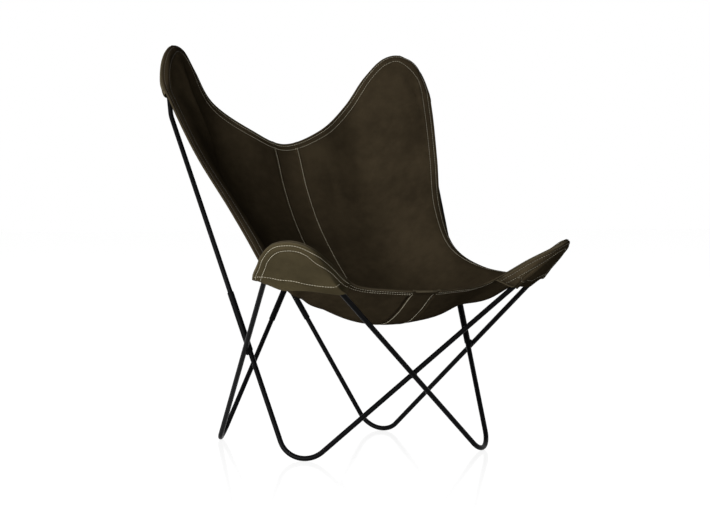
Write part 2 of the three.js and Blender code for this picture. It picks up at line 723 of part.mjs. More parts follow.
function hem(rows) {
  const middle = rows[Math.floor(rows.length / 2)][0];
  const normal = rowNormals(rows)[Math.floor(rows.length / 2)][0];
  const toSitter = Math.sign(sitter.clone().sub(middle).dot(normal));
  return sheet(rows, hemThickness, -toSitter * (leather / 2 + 2 * clearance + hemThickness / 2));
}

function stationShare(start, end, side, goal) {
  const length = (from, to) => {
    let total = 0;
    const count = Math.ceil(Math.abs(to - from) * edgeSteps);
    for (let k = 0; k < count; k += 1) {
      const a = edgeAt(side, from + ((to - from) * k) / count);
      const b = edgeAt(side, from + ((to - from) * (k + 1)) / count);
      total += a.distanceTo(b);
    }
    return total;
  };
  return length(start, goal) / length(start, end);
}

// Each hem stops this share of an edge station short of a pocket's corner
const hemSetbackShare = 0.16;
const frontSetbackShare = 0.35;

// The hem's own lines follow the panel's, so that its faces lie along the panel's faces
const panelRows = steps(panelAlong, easeBoth);
const panelColumns = steps(panelAcross, easeOut);
const hemLines = panelRows.map((v) => v * centreLength).filter((reach) => reach < hemWidth).concat(hemWidth);
const endHem = (atFront) => {
  const goal = atFront ? pocketStations.front[1] + frontSetbackShare : pocketStations.back[0] - hemSetbackShare;
  const start = atFront ? frontStation : 0;
  const tip = atFront ? frontTipStation : backTipStation;
  const v = (reach) => (atFront ? 1 - reach / centreLength : reach / centreLength);
  const columns = [];
  for (const half of slings) {
    const limit = stationShare(start, tip, half.side, goal);
    const places = panelColumns.slice(1).filter((u) => u < limit).concat(limit);
    const run = places.map((u) => (reach) => panelAt(half, u, v(reach)));
    columns.push(half.side < 0 ? run.reverse() : run);
  }
  const band = bandColumns.map((x) => (reach) => bandAt(x, v(reach)));
  return [...columns[0], ...band, ...columns[1]].map((column) => hemLines.map(column));
};
addMesh('hem_top', hem(endHem(false)), hemLeather);
addMesh('hem_front', hem(endHem(true)), hemLeather);

// The panel's width at a row is judged from this share of it next to the edge
const nearEdgeShare = 0.1;

for (const half of slings) {
  const from = stationShare(backTipStation, frontTipStation, half.side, pocketStations.back[1] + hemSetbackShare);
  const to = stationShare(backTipStation, frontTipStation, half.side, pocketStations.front[0] - frontSetbackShare);
  const places = [from, ...panelRows.filter((v) => v > from && v < to), to];
  const rows = places.map((v) => {
    const span = half.bare(1, v).distanceTo(half.bare(1 - nearEdgeShare, v)) / nearEdgeShare;
    return hemLines.map((reach) => panelAt(half, 1 - reach / span, v));
  });
  addMesh(`hem_${sideName(half.side)}`, hem(rows), hemLeather);
}

// The frame's origin is the middle of the whole chair's box, on the floor
const box = new THREE.Box3().setFromObject(chair);
const boxMiddle = box.getCenter(point(0, 0, 0));
chair.children.forEach((mesh) => mesh.geometry.translate(-boxMiddle.x, -boxMiddle.y, -box.min.z));

export default chair;
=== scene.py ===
"""Butterfly sling chair: smooth steel rods, leather sling with turned and stitched edges.

The lengths below are millimetres in the frame of the chair's source, whose origin is moved to
the middle of the whole box on the floor. Objects are made in metres.
"""
import math

import bmesh
import bpy
import numpy as np
from mathutils import Matrix


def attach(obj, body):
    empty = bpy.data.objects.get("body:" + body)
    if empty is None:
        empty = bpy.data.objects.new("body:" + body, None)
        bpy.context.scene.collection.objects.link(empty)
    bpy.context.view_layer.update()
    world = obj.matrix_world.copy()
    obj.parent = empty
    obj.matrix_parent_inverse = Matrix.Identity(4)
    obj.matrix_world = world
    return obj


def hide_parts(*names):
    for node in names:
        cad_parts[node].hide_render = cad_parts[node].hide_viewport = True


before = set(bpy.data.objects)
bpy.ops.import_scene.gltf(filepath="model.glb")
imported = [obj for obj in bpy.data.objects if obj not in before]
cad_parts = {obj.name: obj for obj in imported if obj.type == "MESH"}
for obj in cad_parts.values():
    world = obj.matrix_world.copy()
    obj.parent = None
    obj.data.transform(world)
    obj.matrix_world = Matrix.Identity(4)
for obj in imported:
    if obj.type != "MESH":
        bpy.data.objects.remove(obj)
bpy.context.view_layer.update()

MM = 0.001
ORIGIN = np.array([-0.459, -35.223, 0.0])

# Steel
ROD, SLEEVE = 11.0, 14.0
SLEEVE_LENGTH, BACK_DROP = 140.0, 90.0
GAP = 0.3
FOOT_BEND, HORN_BEND, TOP_BEND, LEG_BEND = 56.0, 42.0, 50.0, 60.0
FRONT_FOOT, BACK_FOOT = (239.5, 228.0), (207.5, 228.0)
HORN = (369.5, 415.5, 496.5)
OUTER_BEND, OUTER_TOP = (330.5, 212.0, 731.5), (329.0, 252.0)
INNER_BEND, INNER_TOP = (191.0, 334.5, 690.0), (264.0, 298.0)
TOP_Z = 881.0
CAD_SIDES, CAD_FOOT_STEPS = 12, 5
SETTLE_ROUNDS = 12
CLEAR_STEPS, ROD_STEPS, ROD_SIDES = 14, 24, 32

# Leather. The rod lies RIM_MARGIN inside the edge, and RIM_BLEND is how soon the skin gives way to it.
LEATHER, RIM_MARGIN, RIM_BLEND, BAND = 2.4, 9.0, 3.7, 60.0
BELLY, FOLD, TIGHT = 3.0, 1.2, 0.5
TOP_CENTRE = np.array([0.0, 305.0, 676.0])
FRONT_CENTRE = np.array([0.0, -363.0, 356.0])
UP, FORWARD = np.array([0.0, 0.0, 1.0]), np.array([0.0, -1.0, 0.0])
SITTER = np.array([0.0, -29.0, 881.0])


def unit(v):
    return v / np.linalg.norm(v)


def clamp(v, low, high):
    return min(high, max(low, v))


def smooth(t):
    t = np.clip(t, 0.0, 1.0)
    return t * t * (3 - 2 * t)


def facing(v, way):
    """The vector, turned round where it points against the way."""
    return v if v @ way > 0 else -v


# A faceted rod of the solid has the round rod's area, so its corners stand a little proud
EVEN = math.sqrt(2 * math.pi / (CAD_SIDES * math.sin(2 * math.pi / CAD_SIDES)))


def section_radius(diameter):
    return diameter / 2 * EVEN


FLAT = section_radius(ROD) * math.cos(math.pi / CAD_SIDES)


def bend(a, v, b, radius, steps, flat=False):
    """Places round a bend of that radius at corner v, with the same ends as the solid's bend."""
    inward, outward = unit(a - v), unit(b - v)
    half = math.acos(clamp(float(inward @ outward), -1, 1)) / 2
    centre = v + unit(inward + outward) * radius / math.sin(half)
    axis = unit(np.cross(outward, inward))
    turn = math.pi - 2 * half
    start = v + inward * radius / math.tan(half) - centre
    side = np.cross(axis, start)
    if flat:
        down = unit(-UP + axis * (axis @ UP))
        lowest = math.acos(clamp(float(unit(start) @ down), -1, 1))
        chord = turn / (2 * steps + 1)
        angles = [(lowest - chord / 2) * k / steps for k in range(steps + 1)]
        angles += [lowest + chord / 2 + (turn - lowest - chord / 2) * k / steps for k in range(steps + 1)]
    else:
        angles = [turn * k / steps for k in range(steps + 1)]
    return [(centre + start * math.cos(t) + side * math.sin(t),
             unit(np.cross(axis, start * math.cos(t) + side * math.sin(t)))) for t in angles]


def foot_corner(x, y, a, b):
    """Corner under which the faceted solid stands on the floor."""
    corner = np.array([x, y, 0.0])
    for _ in range(SETTLE_ROUNDS):
        places = bend(a, corner, b, FOOT_BEND, CAD_FOOT_STEPS, True)
        corner[2] -= min(p[2] - FLAT * math.sqrt(1 - t[2] ** 2) for p, t in places)
    return corner


def loop_corners(side, lap):
    own, far = (lap["left"], lap["right"]) if side > 0 else (lap["right"], lap["left"])
    fy, by = side * lap["front"] / 2, -side * lap["back"] / 2
    c = {
        "outer_bend": np.array([-side * (OUTER_BEND[0] - own / 2), OUTER_BEND[1] + by, OUTER_BEND[2]]),
        "outer_top": np.array([-side * (OUTER_TOP[0] - own / 2), OUTER_TOP[1] + by, TOP_Z]),
        "inner_top": np.array([-side * (INNER_TOP[0] - own / 2), INNER_TOP[1] + by, TOP_Z]),
        "inner_bend": np.array([-side * INNER_BEND[0], INNER_BEND[1] + by, INNER_BEND[2]]),
        "horn": np.array([side * (HORN[0] + far / 2), -HORN[1] + fy, HORN[2]]),
    }
    c["front_foot"] = foot_corner(-side * (FRONT_FOOT[0] - own / 2), -FRONT_FOOT[1] + fy,
                                  c["outer_bend"], c["horn"])
    c["back_foot"] = foot_corner(side * (BACK_FOOT[0] + far / 2), BACK_FOOT[1] + by,
                                 c["horn"], c["inner_bend"])
    return c


def crossing(a, b, c, d):
    """Where the lines ab and cd pass nearest each other, and how far apart."""
    u, w, gap = unit(b - a), unit(d - c), c - a
    k = u @ w
    s = (gap @ u - k * (gap @ w)) / (1 - k * k)
    p = a + u * s
    q = c + w * (k * s - gap @ w)
    return p, q, np.linalg.norm(p - q)


# Where the loops cross: for both rods the loop, and the corners that the rod runs between
CROSSINGS = {
    "front": ((0, "front_foot", "horn"), (1, "front_foot", "horn")),
    "back": ((0, "back_foot", "inner_bend"), (1, "back_foot", "inner_bend")),
    "left": ((0, "front_foot", "outer_bend"), (1, "back_foot", "horn")),
    "right": ((1, "front_foot", "outer_bend"), (0, "back_foot", "horn")),
}


def nest_loops():
    """Both loops, moved apart until their rods and sleeves just touch where they cross."""
    rods = 2 * section_radius(ROD) + GAP
    sleeves = 2 * section_radius(SLEEVE) + GAP
    mixed = section_radius(ROD) + section_radius(SLEEVE) + GAP
    want = {"front": rods, "back": sleeves, "left": mixed, "right": mixed}
    lap = {**want, "left": 0.0, "right": 0.0}
    for _ in range(SETTLE_ROUNDS):
        loops = [loop_corners(1, lap), loop_corners(-1, lap)]
        meet = {place: crossing(*(loops[k][corner] for k, *ends in pair for corner in ends))
                for place, pair in CROSSINGS.items()}
        for place in lap:
            lap[place] += want[place] - meet[place][2]
    return loops, meet


loops, meet = nest_loops()


def loop_frame(side):
    """A loop's sleeves, and the plane of its hairpin: across from the outer leg, up, to the sitter."""
    c = loops[0] if side > 0 else loops[1]
    contact = meet["left"][0] if side > 0 else meet["right"][0]
    back_point = meet["back"][0] if side > 0 else meet["back"][1]

    def sleeve(foot, head, place, drop):
        axis = unit(head - foot)
        low = foot + axis * (np.linalg.norm(foot - place) - drop)
        return {"axis": axis, "low": low, "joint": low + axis * SLEEVE_LENGTH / 2}

    side_sleeve = sleeve(c["front_foot"], c["outer_bend"], contact, 0)
    back_sleeve = sleeve(c["back_foot"], c["inner_bend"], back_point, BACK_DROP)
    across = unit(c["inner_top"] - c["outer_top"])
    out = facing(unit(np.cross(unit(c["outer_top"] - c["outer_bend"]), across)), FORWARD)
    up = facing(unit(np.cross(across, out)), UP)
    centre = (c["outer_top"] + c["inner_top"]) / 2 - up * TOP_BEND
    return {"side": side, "loop": c, "side_sleeve": side_sleeve, "back_sleeve": back_sleeve,
            "hairpin": {"centre": centre, "across": across, "up": up, "out": out}}


frames = [loop_frame(1), loop_frame(-1)]


def horn_plane(c):
    """The plane of a front horn: across to the side leg, up, and out to the sitter."""
    front_rod, side_rod = unit(c["front_foot"] - c["horn"]), unit(c["back_foot"] - c["horn"])
    up = -unit(front_rod + side_rod)
    across = unit(side_rod - front_rod)
    out = facing(unit(np.cross(across, up)), UP)
    half = math.acos(float(front_rod @ side_rod)) / 2
    return {"centre": c["horn"] - up * HORN_BEND / math.sin(half), "across": across, "up": up, "out": out}


# The corners that each kind of rod runs through, its bends, and its side of the sleeves' joints
RODS = {
    "base_rod": (("front_foot", "horn", "back_foot"), (FOOT_BEND, HORN_BEND, FOOT_BEND), -1),
    "upright": (("outer_bend", "outer_top", "inner_top", "inner_bend"),
                (LEG_BEND, TOP_BEND, TOP_BEND, LEG_BEND), 1),
}


def rod_path(f, kind, steps):
    """Dense places along a rod's straight legs and round bends, each with its direction."""
    corners, bends, way = RODS[kind]
    first, last = (sleeve["joint"] + sleeve["axis"] * GAP / 2 * way
                   for sleeve in (f["side_sleeve"], f["back_sleeve"]))
    points = [first, *(f["loop"][corner] for corner in corners), last]
    path = [(points[0], unit(points[1] - points[0]))]
    for i, radius in enumerate(bends):
        path += bend(points[i], points[i + 1], points[i + 2], radius, steps)
    path.append((points[-1], unit(points[-1] - points[-2])))
    return path


rod_lines = [np.array([p for p, _ in rod_path(f, kind, CLEAR_STEPS)]) for f in frames for kind in RODS]

# ---------------------------------------------------------------- edge of the sling


def catmull(points, closed=False):
    """Centripetal curve through the points; the parameter counts points."""
    points = np.array(points, float)
    n = len(points)
    if closed:
        points = np.vstack([points[-1], points, points[:2]])
    else:
        points = np.vstack([2 * points[0] - points[1], points, 2 * points[-1] - points[-2]])

    def at(t):
        t = np.mod(np.atleast_1d(t), n) if closed else np.atleast_1d(t)
        k = np.clip(np.floor(t).astype(int), 0, len(points) - 4)
        w = (t - k)[:, None]
        p0, p1, p2, p3 = (points[k + i] for i in range(4))
        d0, d1, d2 = (np.sqrt(np.linalg.norm(b - a, axis=1))[:, None]
                      for a, b in ((p0, p1), (p1, p2), (p2, p3)))
        m1 = ((p1 - p0) / d0 - (p2 - p0) / (d0 + d1) + (p2 - p1) / d1) * d1
        m2 = ((p2 - p1) / d1 - (p3 - p1) / (d1 + d2) + (p3 - p2) / d2) * d1
        return (p1 + m1 * w + (-3 * p1 + 3 * p2 - 2 * m1 - m2) * w ** 2
                + (2 * p1 - 2 * p2 + m1 + m2) * w ** 3)
    return at


def lengths_to(places):
    """Length of a line of places up to each of them."""
    return np.concatenate([[0], np.cumsum(np.linalg.norm(np.diff(places, axis=0), axis=1))])


def place_at(places, marks, s):
    """Place at the mark s on a line of places that have those marks."""
    return np.stack([np.interp(s, marks, column) for column in places.T], axis=-1)


# The edge's points, as shares of each rim's radius round its horn (across, up, out), and as
# shares along and off the spans between them
BACK_RIM = TOP_BEND + ROD / 2 + RIM_MARGIN
FRONT_RIM = HORN_BEND + ROD / 2 + RIM_MARGIN
BACK_RIM_SHARES = [
    (1.98, -0.97, 0.03), (1.28, 0.16, -0.05), (0.56, 0.86, 0.03), (-0.05, 0.97, 0),
    (-0.76, 0.44, -0.03), (-1.14, -0.35, -0.03), (-1.33, -1.22, 0.28),
]
FRONT_RIM_SHARES = [
    (1.67, -1.04, -0.11), (1.36, -0.25, -0.08), (1.09, 0.27, -0.02), (0.55, 0.81, 0.07),
    (-0.26, 0.99, 0.05), (-0.84, 0.7, 0.05), (-1.26, -0.47, 0.37), (-1.54, -1.46, 0.58),
]
LEFT_CORNER_SHARES = (1.67, -0.93, -0.11)
TOP_SPAN_SHARES = [(0.31, 0.02, -0.056)]
SIDE_SPAN_SHARES = [
    (0.307, -0.101, -0.02), (0.496, -0.172, 0.04), (0.654, -0.205, 0.064),
    (0.789, -0.183, 0.04), (0.887, -0.141, -0.02),
]
FRONT_SPAN_SHARES = [(0.523, 0.051, -0.064), (0.761, 0.017, -0.04)]
CENTRE_SHARES = [
    (0, 0), (0.05, -0.036), (0.132, -0.098), (0.249, -0.161), (0.376, -0.203), (0.483, -0.227),
    (0.573, -0.243), (0.665, -0.249), (0.748, -0.233), (0.823, -0.203), (0.887, -0.161),
    (0.932, -0.105), (0.982, -0.018), (1, 0),
]


def place_in(plane, a, b, n):
    """Place at distances across, up and out of a plane, or places at arrays of them."""
    outer = np.multiply.outer
    return plane["centre"] + outer(a, plane["across"]) + outer(b, plane["up"]) + outer(n, plane["out"])


def place_of(plane, p):
    arm = p - plane["centre"]
    return arm @ plane["across"], arm @ plane["up"], arm @ plane["out"]


halves = [{
    "side": side,
    "name": name,
    "back": frames[0 if side < 0 else 1]["hairpin"],
    "front": horn_plane(loops[1 if side < 0 else 0]),
    "back_loop": loops[0 if side < 0 else 1],
} for side, name in ((-1, "left"), (1, "right"))]


def span_point(a, b, share):
    span = abs(b[0] - a[0])
    return a + (b - a) * share[0] + np.array([0, share[1] * span, share[2] * span])


def sag_point(a, b, share, side=1):
    chord = np.array([0, b[1] - a[1], b[2] - a[2]])
    across = np.array([0, chord[2], -chord[1]])
    return (a + (b - a) * share[0] + across * share[1]
            + np.array([-side * share[2] * np.linalg.norm(chord), 0, 0]))


def edge_half(h):
    back, front, side = h["back"], h["front"], h["side"]
    front_rim = [LEFT_CORNER_SHARES if side < 0 else FRONT_RIM_SHARES[0]] + FRONT_RIM_SHARES[1:]
    return ([span_point(TOP_CENTRE, back["centre"], s) for s in TOP_SPAN_SHARES]
            + [place_in(back, *np.multiply(s, BACK_RIM)) for s in BACK_RIM_SHARES]
            + [sag_point(back["centre"], front["centre"], s, side) for s in SIDE_SPAN_SHARES]
            + [place_in(front, *np.multiply(s, FRONT_RIM)) for s in front_rim]
            + [span_point(front["centre"], FRONT_CENTRE, s) for s in FRONT_SPAN_SHARES])


edge_points = [TOP_CENTRE] + edge_half(halves[0]) + [FRONT_CENTRE] + edge_half(halves[1])[::-1]
edge_curve = catmull(edge_points, True)
EDGE_COUNT = len(edge_points)
# Stations count the edge's points from the top's middle, down each side to the front's middle
FRONT_STATION = EDGE_COUNT / 2
BACK_TIP = 1 + len(TOP_SPAN_SHARES) + 3
FRONT_CORNER = BACK_TIP + 4 + len(SIDE_SPAN_SHARES)
FRONT_TIP = FRONT_CORNER + 3.6
POCKETS = {"back": (BACK_TIP - 2.75, BACK_TIP + 2.6), "front": (FRONT_CORNER, FRONT_CORNER + 7.45)}
# How finely a curve is walked (places from point to point), and the rim is known
WALK_STEPS, HALF_RIM_PLACES, RIM_PLACES = 40, 1400, 3600


def edge_at(side, station):
    station = np.asarray(station, float)
    return edge_curve(station if side < 0 else EDGE_COUNT - station)


def walk(at, start, end):
    """A stretch of a curve by shares of its length."""
    count = max(8, int(math.ceil(abs(end - start) * WALK_STEPS)))
    places = at(start + (end - start) * np.arange(count + 1) / count)
    lengths = lengths_to(places)
    return lambda share: place_at(places, lengths, np.clip(np.atleast_1d(share), 0, 1) * lengths[-1])


centre_curve = catmull([sag_point(TOP_CENTRE, FRONT_CENTRE, (a, s, 0)) for a, s in CENTRE_SHARES])
centre_line = walk(centre_curve, 0, len(CENTRE_SHARES) - 1)


def seam_station(side, low, high, reach):
    """Station between low and high where the edge is that far from the middle, by halving."""
    for _ in range(30):
        middle = (low + high) / 2
        if abs(edge_at(side, middle)[0][0]) < reach:
            low = middle
        else:
            high = middle
    return (low + high) / 2


REACH = BAND / 2 + GAP / 2
for h in halves:
    side = h["side"]
    top_start = seam_station(side, 0, BACK_TIP, REACH)
    front_start = seam_station(side, FRONT_STATION, FRONT_TIP, REACH)

    def at(station, side=side):
        return edge_at(side, station)
    h["top"] = walk(at, top_start, BACK_TIP)
    h["bottom"] = walk(at, front_start, FRONT_TIP)
    h["outer"] = walk(at, BACK_TIP, FRONT_TIP)
    h["rim"] = edge_at(side, np.linspace(0, FRONT_STATION, HALF_RIM_PLACES))
    tb, te, fb, fe = h["top"](0)[0], h["top"](1)[0], h["bottom"](0)[0], h["bottom"](1)[0]
    h["corners"] = (tb, te, fb, fe)
    h["top_lift"] = tb - np.array([tb[0], TOP_CENTRE[1], TOP_CENTRE[2]])
    h["front_lift"] = fb - np.array([fb[0], FRONT_CENTRE[1], FRONT_CENTRE[2]])


def bare(h, u, v):
    """Smooth surface between the four boundary walks, before it meets the rods."""
    tb, te, fb, fe = h["corners"]
    top, bottom, outer = h["top"](u), h["bottom"](u), h["outer"](v)
    seam = centre_line(v) + h["top_lift"] * (1 - v)[:, None] + h["front_lift"] * v[:, None]
    seam[:, 0] = h["side"] * REACH
    out = np.empty((len(u), 3))
    for axis in range(3):
        m = u if axis == 0 else u * u
        out[:, axis] = ((1 - v) * top[:, axis] + v * bottom[:, axis]
                        + (1 - m) * seam[:, axis] + m * outer[:, axis]
                        - (1 - v) * ((1 - m) * tb[axis] + m * te[axis])
                        - v * ((1 - m) * fb[axis] + m * fe[axis]))
    return out


def lean_back(h, a, b):
    """How far the hairpin's inner leg leans back behind the hairpin's plane."""
    inner = place_of(h["back"], h["back_loop"]["inner_bend"])
    outer = place_of(h["back"], h["back_loop"]["outer_bend"])
    down = np.clip((TOP_BEND - b) / (TOP_BEND - inner[1]), 0, 1.2)
    left = -TOP_BEND + (outer[0] + TOP_BEND) * down
    right = TOP_BEND + (inner[0] - TOP_BEND) * down
    return inner[2] * down * np.clip((a - left) / (right - left), 0, 1.3)


def soft_max(value, floor, blend):
    """The value, kept above the floor with a soft corner."""
    return floor + blend * np.logaddexp(0, (value - floor) / blend)


ROD_CLEAR = ROD / 2 + LEATHER / 2 + TIGHT
BLOCK = 4000


def nearest(p, a, b):
    """Where each place is nearest to the stretch from a to b: share of the way, place, distance."""
    arm = b - a
    ahead, length2 = (np.einsum("...k,...k", v, arm) for v in (p - a, arm))
    t = np.clip(ahead / np.maximum(length2, 1e-9), 0, 1)
    q = a + t[:, None] * arm
    return t, q, np.linalg.norm(p - q, axis=1)


def off_rods(p):
    """Pushes places out of the rods, to the leather's own distance."""
    for line in rod_lines:
        best = np.full(len(p), np.inf)
        near = np.zeros_like(p)
        for a, b in zip(line[:-1], line[1:]):
            _, q, d = nearest(p, a, b)
            take = d < best
            best[take], near[take] = d[take], q[take]
        close = best < 2 * ROD_CLEAR
        if close.any():
            d = np.maximum(best[close], 1e-6)
            push = (soft_max(d, ROD_CLEAR, FOLD / 2) / d)[:, None]
            p[close] = near[close] + (p[close] - near[close]) * push
    return p


def rim_distance(h, p):
    """Distance of each place to the points of its half's rim."""
    out = np.empty(len(p))
    for k in range(0, len(p), BLOCK):
        block = p[k:k + BLOCK]
        out[k:k + BLOCK] = np.sqrt(((block[:, None, :] - h["rim"][None]) ** 2).sum(2).min(1))
    return out


def over_rods(h, p):
    """Lays a panel's places over the hairpin and the horn, and leaves its rim where it is."""
    grip = smooth(rim_distance(h, p) / (RIM_MARGIN + RIM_BLEND))
    for plane in (h["back"], h["front"]):
        a, b, n = place_of(plane, p)
        floor = ROD_CLEAR + (lean_back(h, a, b) if plane is h["back"] else 0)
        p = p + plane["out"] * ((soft_max(n, floor, FOLD) - n) * grip)[:, None]
    moved = off_rods(p.copy())
    return np.where((grip == 0)[:, None], p, moved)


# Where the hide hangs fuller (down) or tighter (up) than the smooth surface: (u, v), spread, rise
SWELLS = {
    "left": [((0.34, 0.75), (0.14, 0.10), 16.0), ((0.72, 0.84), (0.10, 0.08), -10.0)],
    "right": [((0.36, 0.84), (0.12, 0.10), 13.0), ((0.58, 0.86), (0.10, 0.06), -6.0)],
}
# Creases: places with the height there (u, v, mm), then the width of each flank
CREASES = {
    "left": [
        ([(0.90, 0.035, 2), (0.857, 0.05, 5), (0.79, 0.068, 9), (0.74, 0.085, 13), (0.688, 0.105, 17),
          (0.647, 0.128, 19), (0.61, 0.155, 17), (0.58, 0.19, 10), (0.56, 0.23, 0)], (42.0, 11.0)),
        ([(0.53, 0.17, 0), (0.42, 0.135, 4), (0.32, 0.10, 4), (0.20, 0.06, 0)], (16.0, 20.0)),
        ([(0.72, 0.70, 0), (0.55, 0.74, 4), (0.38, 0.80, 4), (0.25, 0.86, 0)], (14.0, 20.0)),
    ],
    "right": [
        ([(0.90, 0.07, 0), (0.92, 0.12, -7), (0.92, 0.18, -7), (0.90, 0.25, 0)], (16.0, 12.0)),
        ([(0.16, 0.05, 0), (0.17, 0.12, -5), (0.16, 0.20, -5), (0.13, 0.28, 0)], (20.0, 16.0)),
        ([(0.34, 0.10, 0), (0.42, 0.16, -4), (0.50, 0.24, 0)], (24.0, 16.0)),
        ([(0.40, 0.95, 0), (0.55, 0.92, -6), (0.70, 0.90, -6), (0.82, 0.90, 0)], (12.0, 16.0)),
    ],
}
CREST = 2.5
CREASE_STEPS = 60
# Swells and creases start so far from the seam (a share) and from the rim, and grow over so much
SEAM_SHARE = 0.10
SWELL_START, SWELL_GROWS, CREASE_START, CREASE_GROWS = 6.0, 22.0, 4.0, 14.0


def inside(h, u, p, start, grows):
    """0 at the centre seam and along the rim, 1 well inside a panel."""
    return smooth(u / SEAM_SHARE) * smooth((rim_distance(h, p) - start) / grows)


def swell(h, u, v, p):
    """Places of the smooth surface with its swells."""
    window = inside(h, u, p, SWELL_START, SWELL_GROWS)
    lift = np.zeros(len(p))
    for (cu, cv), (su, sv), rise in SWELLS[h["name"]]:
        lift += rise * np.exp(-((u - cu) / su) ** 2 - ((v - cv) / sv) ** 2)
    return p + np.outer(lift * window, UP)


def panel_at(h, u, v):
    return over_rods(h, swell(h, u, v, bare(h, u, v)))


def band_at(x, v):
    """Places of the centre band, at that distance from the middle."""
    lift_top = np.where((x < 0)[:, None], halves[0]["top_lift"], halves[1]["top_lift"])
    lift_front = np.where((x < 0)[:, None], halves[0]["front_lift"], halves[1]["front_lift"])
    crown = ((x / REACH) ** 2)[:, None]
    p = centre_line(v) + lift_top * crown * (1 - v)[:, None] + lift_front * crown * v[:, None]
    p[:, 0] = x
    return p


def curve_distance(p, line):
    """Distance of each place to a polyline, and the share of the line where it is nearest."""
    shape = p.shape[:-1]
    flat = p.reshape(-1, 3)
    dist, where = np.empty(len(flat)), np.empty(len(flat))
    for k in range(0, len(flat), BLOCK):
        block = flat[k:k + BLOCK]
        near = ((block[:, None, :] - line[None]) ** 2).sum(2).argmin(1)
        best = np.full(len(block), np.inf)
        share = np.zeros(len(block))
        for step in (-1, 0):
            i = np.clip(near + step, 0, len(line) - 2)
            t, _, d = nearest(block, line[i], line[i + 1])
            take = d < best
            best[take], share[take] = d[take], (i + t)[take]
        dist[k:k + BLOCK], where[k:k + BLOCK] = best, share
    return dist.reshape(shape), where.reshape(shape)


def creased(p, line, heights, widths, window, out_of):
    """Places raised along a line of places, to a crest with a straight flank on each side."""
    at = np.linspace(0, len(line) - 1.001, CREASE_STEPS)
    places = catmull(line)(at)
    ahead = np.gradient(places, axis=0)
    dist, where = curve_distance(p, places)
    k = np.clip(np.round(where).astype(int), 0, len(places) - 1)
    out = out_of(places)[k]
    left = ((p - places[k]) * np.cross(ahead[k], out)).sum(1) > 0
    height = np.interp(where, np.arange(CREASE_STEPS), np.interp(at, np.arange(len(line)), heights))
    lift = height * np.exp(-(np.hypot(dist, CREST) - CREST) / np.where(left, *widths))
    return p + out * (lift * window)[:, None]


def to_sitter(places):
    out = SITTER - places
    return out / np.linalg.norm(out, axis=-1, keepdims=True)


def crease(h, u, p):
    """Places of a panel with its creases."""
    window = inside(h, u, p, CREASE_START, CREASE_GROWS)
    for points, widths in CREASES[h["name"]]:
        us, vs, heights = np.array(points, float).T
        p = creased(p, panel_at(h, us, vs), heights, widths, window, to_sitter)
    return off_rods(p)


# ---------------------------------------------------------------- pockets

# Each mouth's line as shares of the rim's radius (across, up), then how soon its ends close
MOUTH_SHARES = {
    "back": [(1.1, -0.85), (0, -0.95), (-0.9, -0.92)],
    "front": [(1.14, -1.21), (0.6, -1.47), (0.1, -1.43), (-0.45, -1.43), (-1.02, -1.52), (-1.5, -1.58),
              (-1.72, -1.53)],
}
POCKET_ENDS = {"back": 7, "front": 12}
RIGHT_MOUTH_RISE = 8.0
# The right front pocket's fold: places as shares along the rim and across, then its shape
TUCK_LINE = [(0.97, 0.25), (0.88, 0.34), (0.74, 0.40), (0.60, 0.38), (0.42, 0.28)]
TUCK_HEIGHTS, TUCK_WIDTHS = (0, -6, -6, -5, 0), (10.0, 10.0)


def pocket_grid(h, place, along, across):
    """Middle surface of a pocket: rows from the rim, down past the rod, under it and to the mouth."""
    plane = h[place]
    radius = BACK_RIM if place == "back" else FRONT_RIM
    start, end = POCKETS[place]
    rim_walk = walk(lambda s: edge_at(h["side"], s), start, end)
    behind = plane["out"] * (LEATHER + GAP)
    a, b, n = place_of(plane, rim_walk(along) - behind)
    tips = [(*place_of(plane, (rim_walk(k) - behind)[0])[:2], 0) for k in (0, 1)]
    inner = [(x * radius, y * radius, 0) for x, y in MOUTH_SHARES[place]]
    mouth_points = [tips[0], *inner, tips[1]]
    x, y, _ = walk(catmull(mouth_points), 0, len(mouth_points) - 1)(along).T
    grip = smooth(np.minimum(along, 1 - along) * POCKET_ENDS[place])

    def depth(x, y, belly):
        lean = lean_back(h, x, y) if place == "back" else 0
        return n + (-ROD_CLEAR - belly + lean - n) * grip
    reach = np.hypot(x - a, y - b)
    inset = np.where(reach > 0, ROD / 2 * np.clip(1 - n / ROD_CLEAR, 0, 1) / np.maximum(reach, ROD), 0)
    ta, tb = a + (x - a) * inset, b + (y - b) * inset
    p0 = place_in(plane, a, b, n)
    p1 = place_in(plane, ta, tb, depth(ta, tb, 0))
    p2 = place_in(plane, x, y, depth(x, y, BELLY * np.sin(math.pi * along)))
    t = across[None, :, None]
    grid = (p0[:, None] * (1 - t) ** 3 + 3 * p1[:, None] * t * (1 - t) + p2[:, None] * t ** 3)
    if place == "front" and h["side"] > 0:
        tuck = (smooth((along - 0.5) / 0.3) * smooth((1 - along) / 0.12))[:, None] * across[None, :] ** 1.5
        grid = grid + tuck[..., None] * UP * RIGHT_MOUTH_RISE
        rows = grid[[round(share * (len(along) - 1)) for share, _ in TUCK_LINE]]
        line = np.array([place_at(row, across, t) for row, (_, t) in zip(rows, TUCK_LINE)])
        grid = creased(grid.reshape(-1, 3), line, TUCK_HEIGHTS, TUCK_WIDTHS, 1.0,
                       lambda places: np.tile(-plane["out"], (len(places), 1)))
        grid = grid.reshape(len(along), len(across), 3)
    return off_rods(grid.reshape(-1, 3).copy()).reshape(grid.shape)


# ---------------------------------------------------------------- meshes


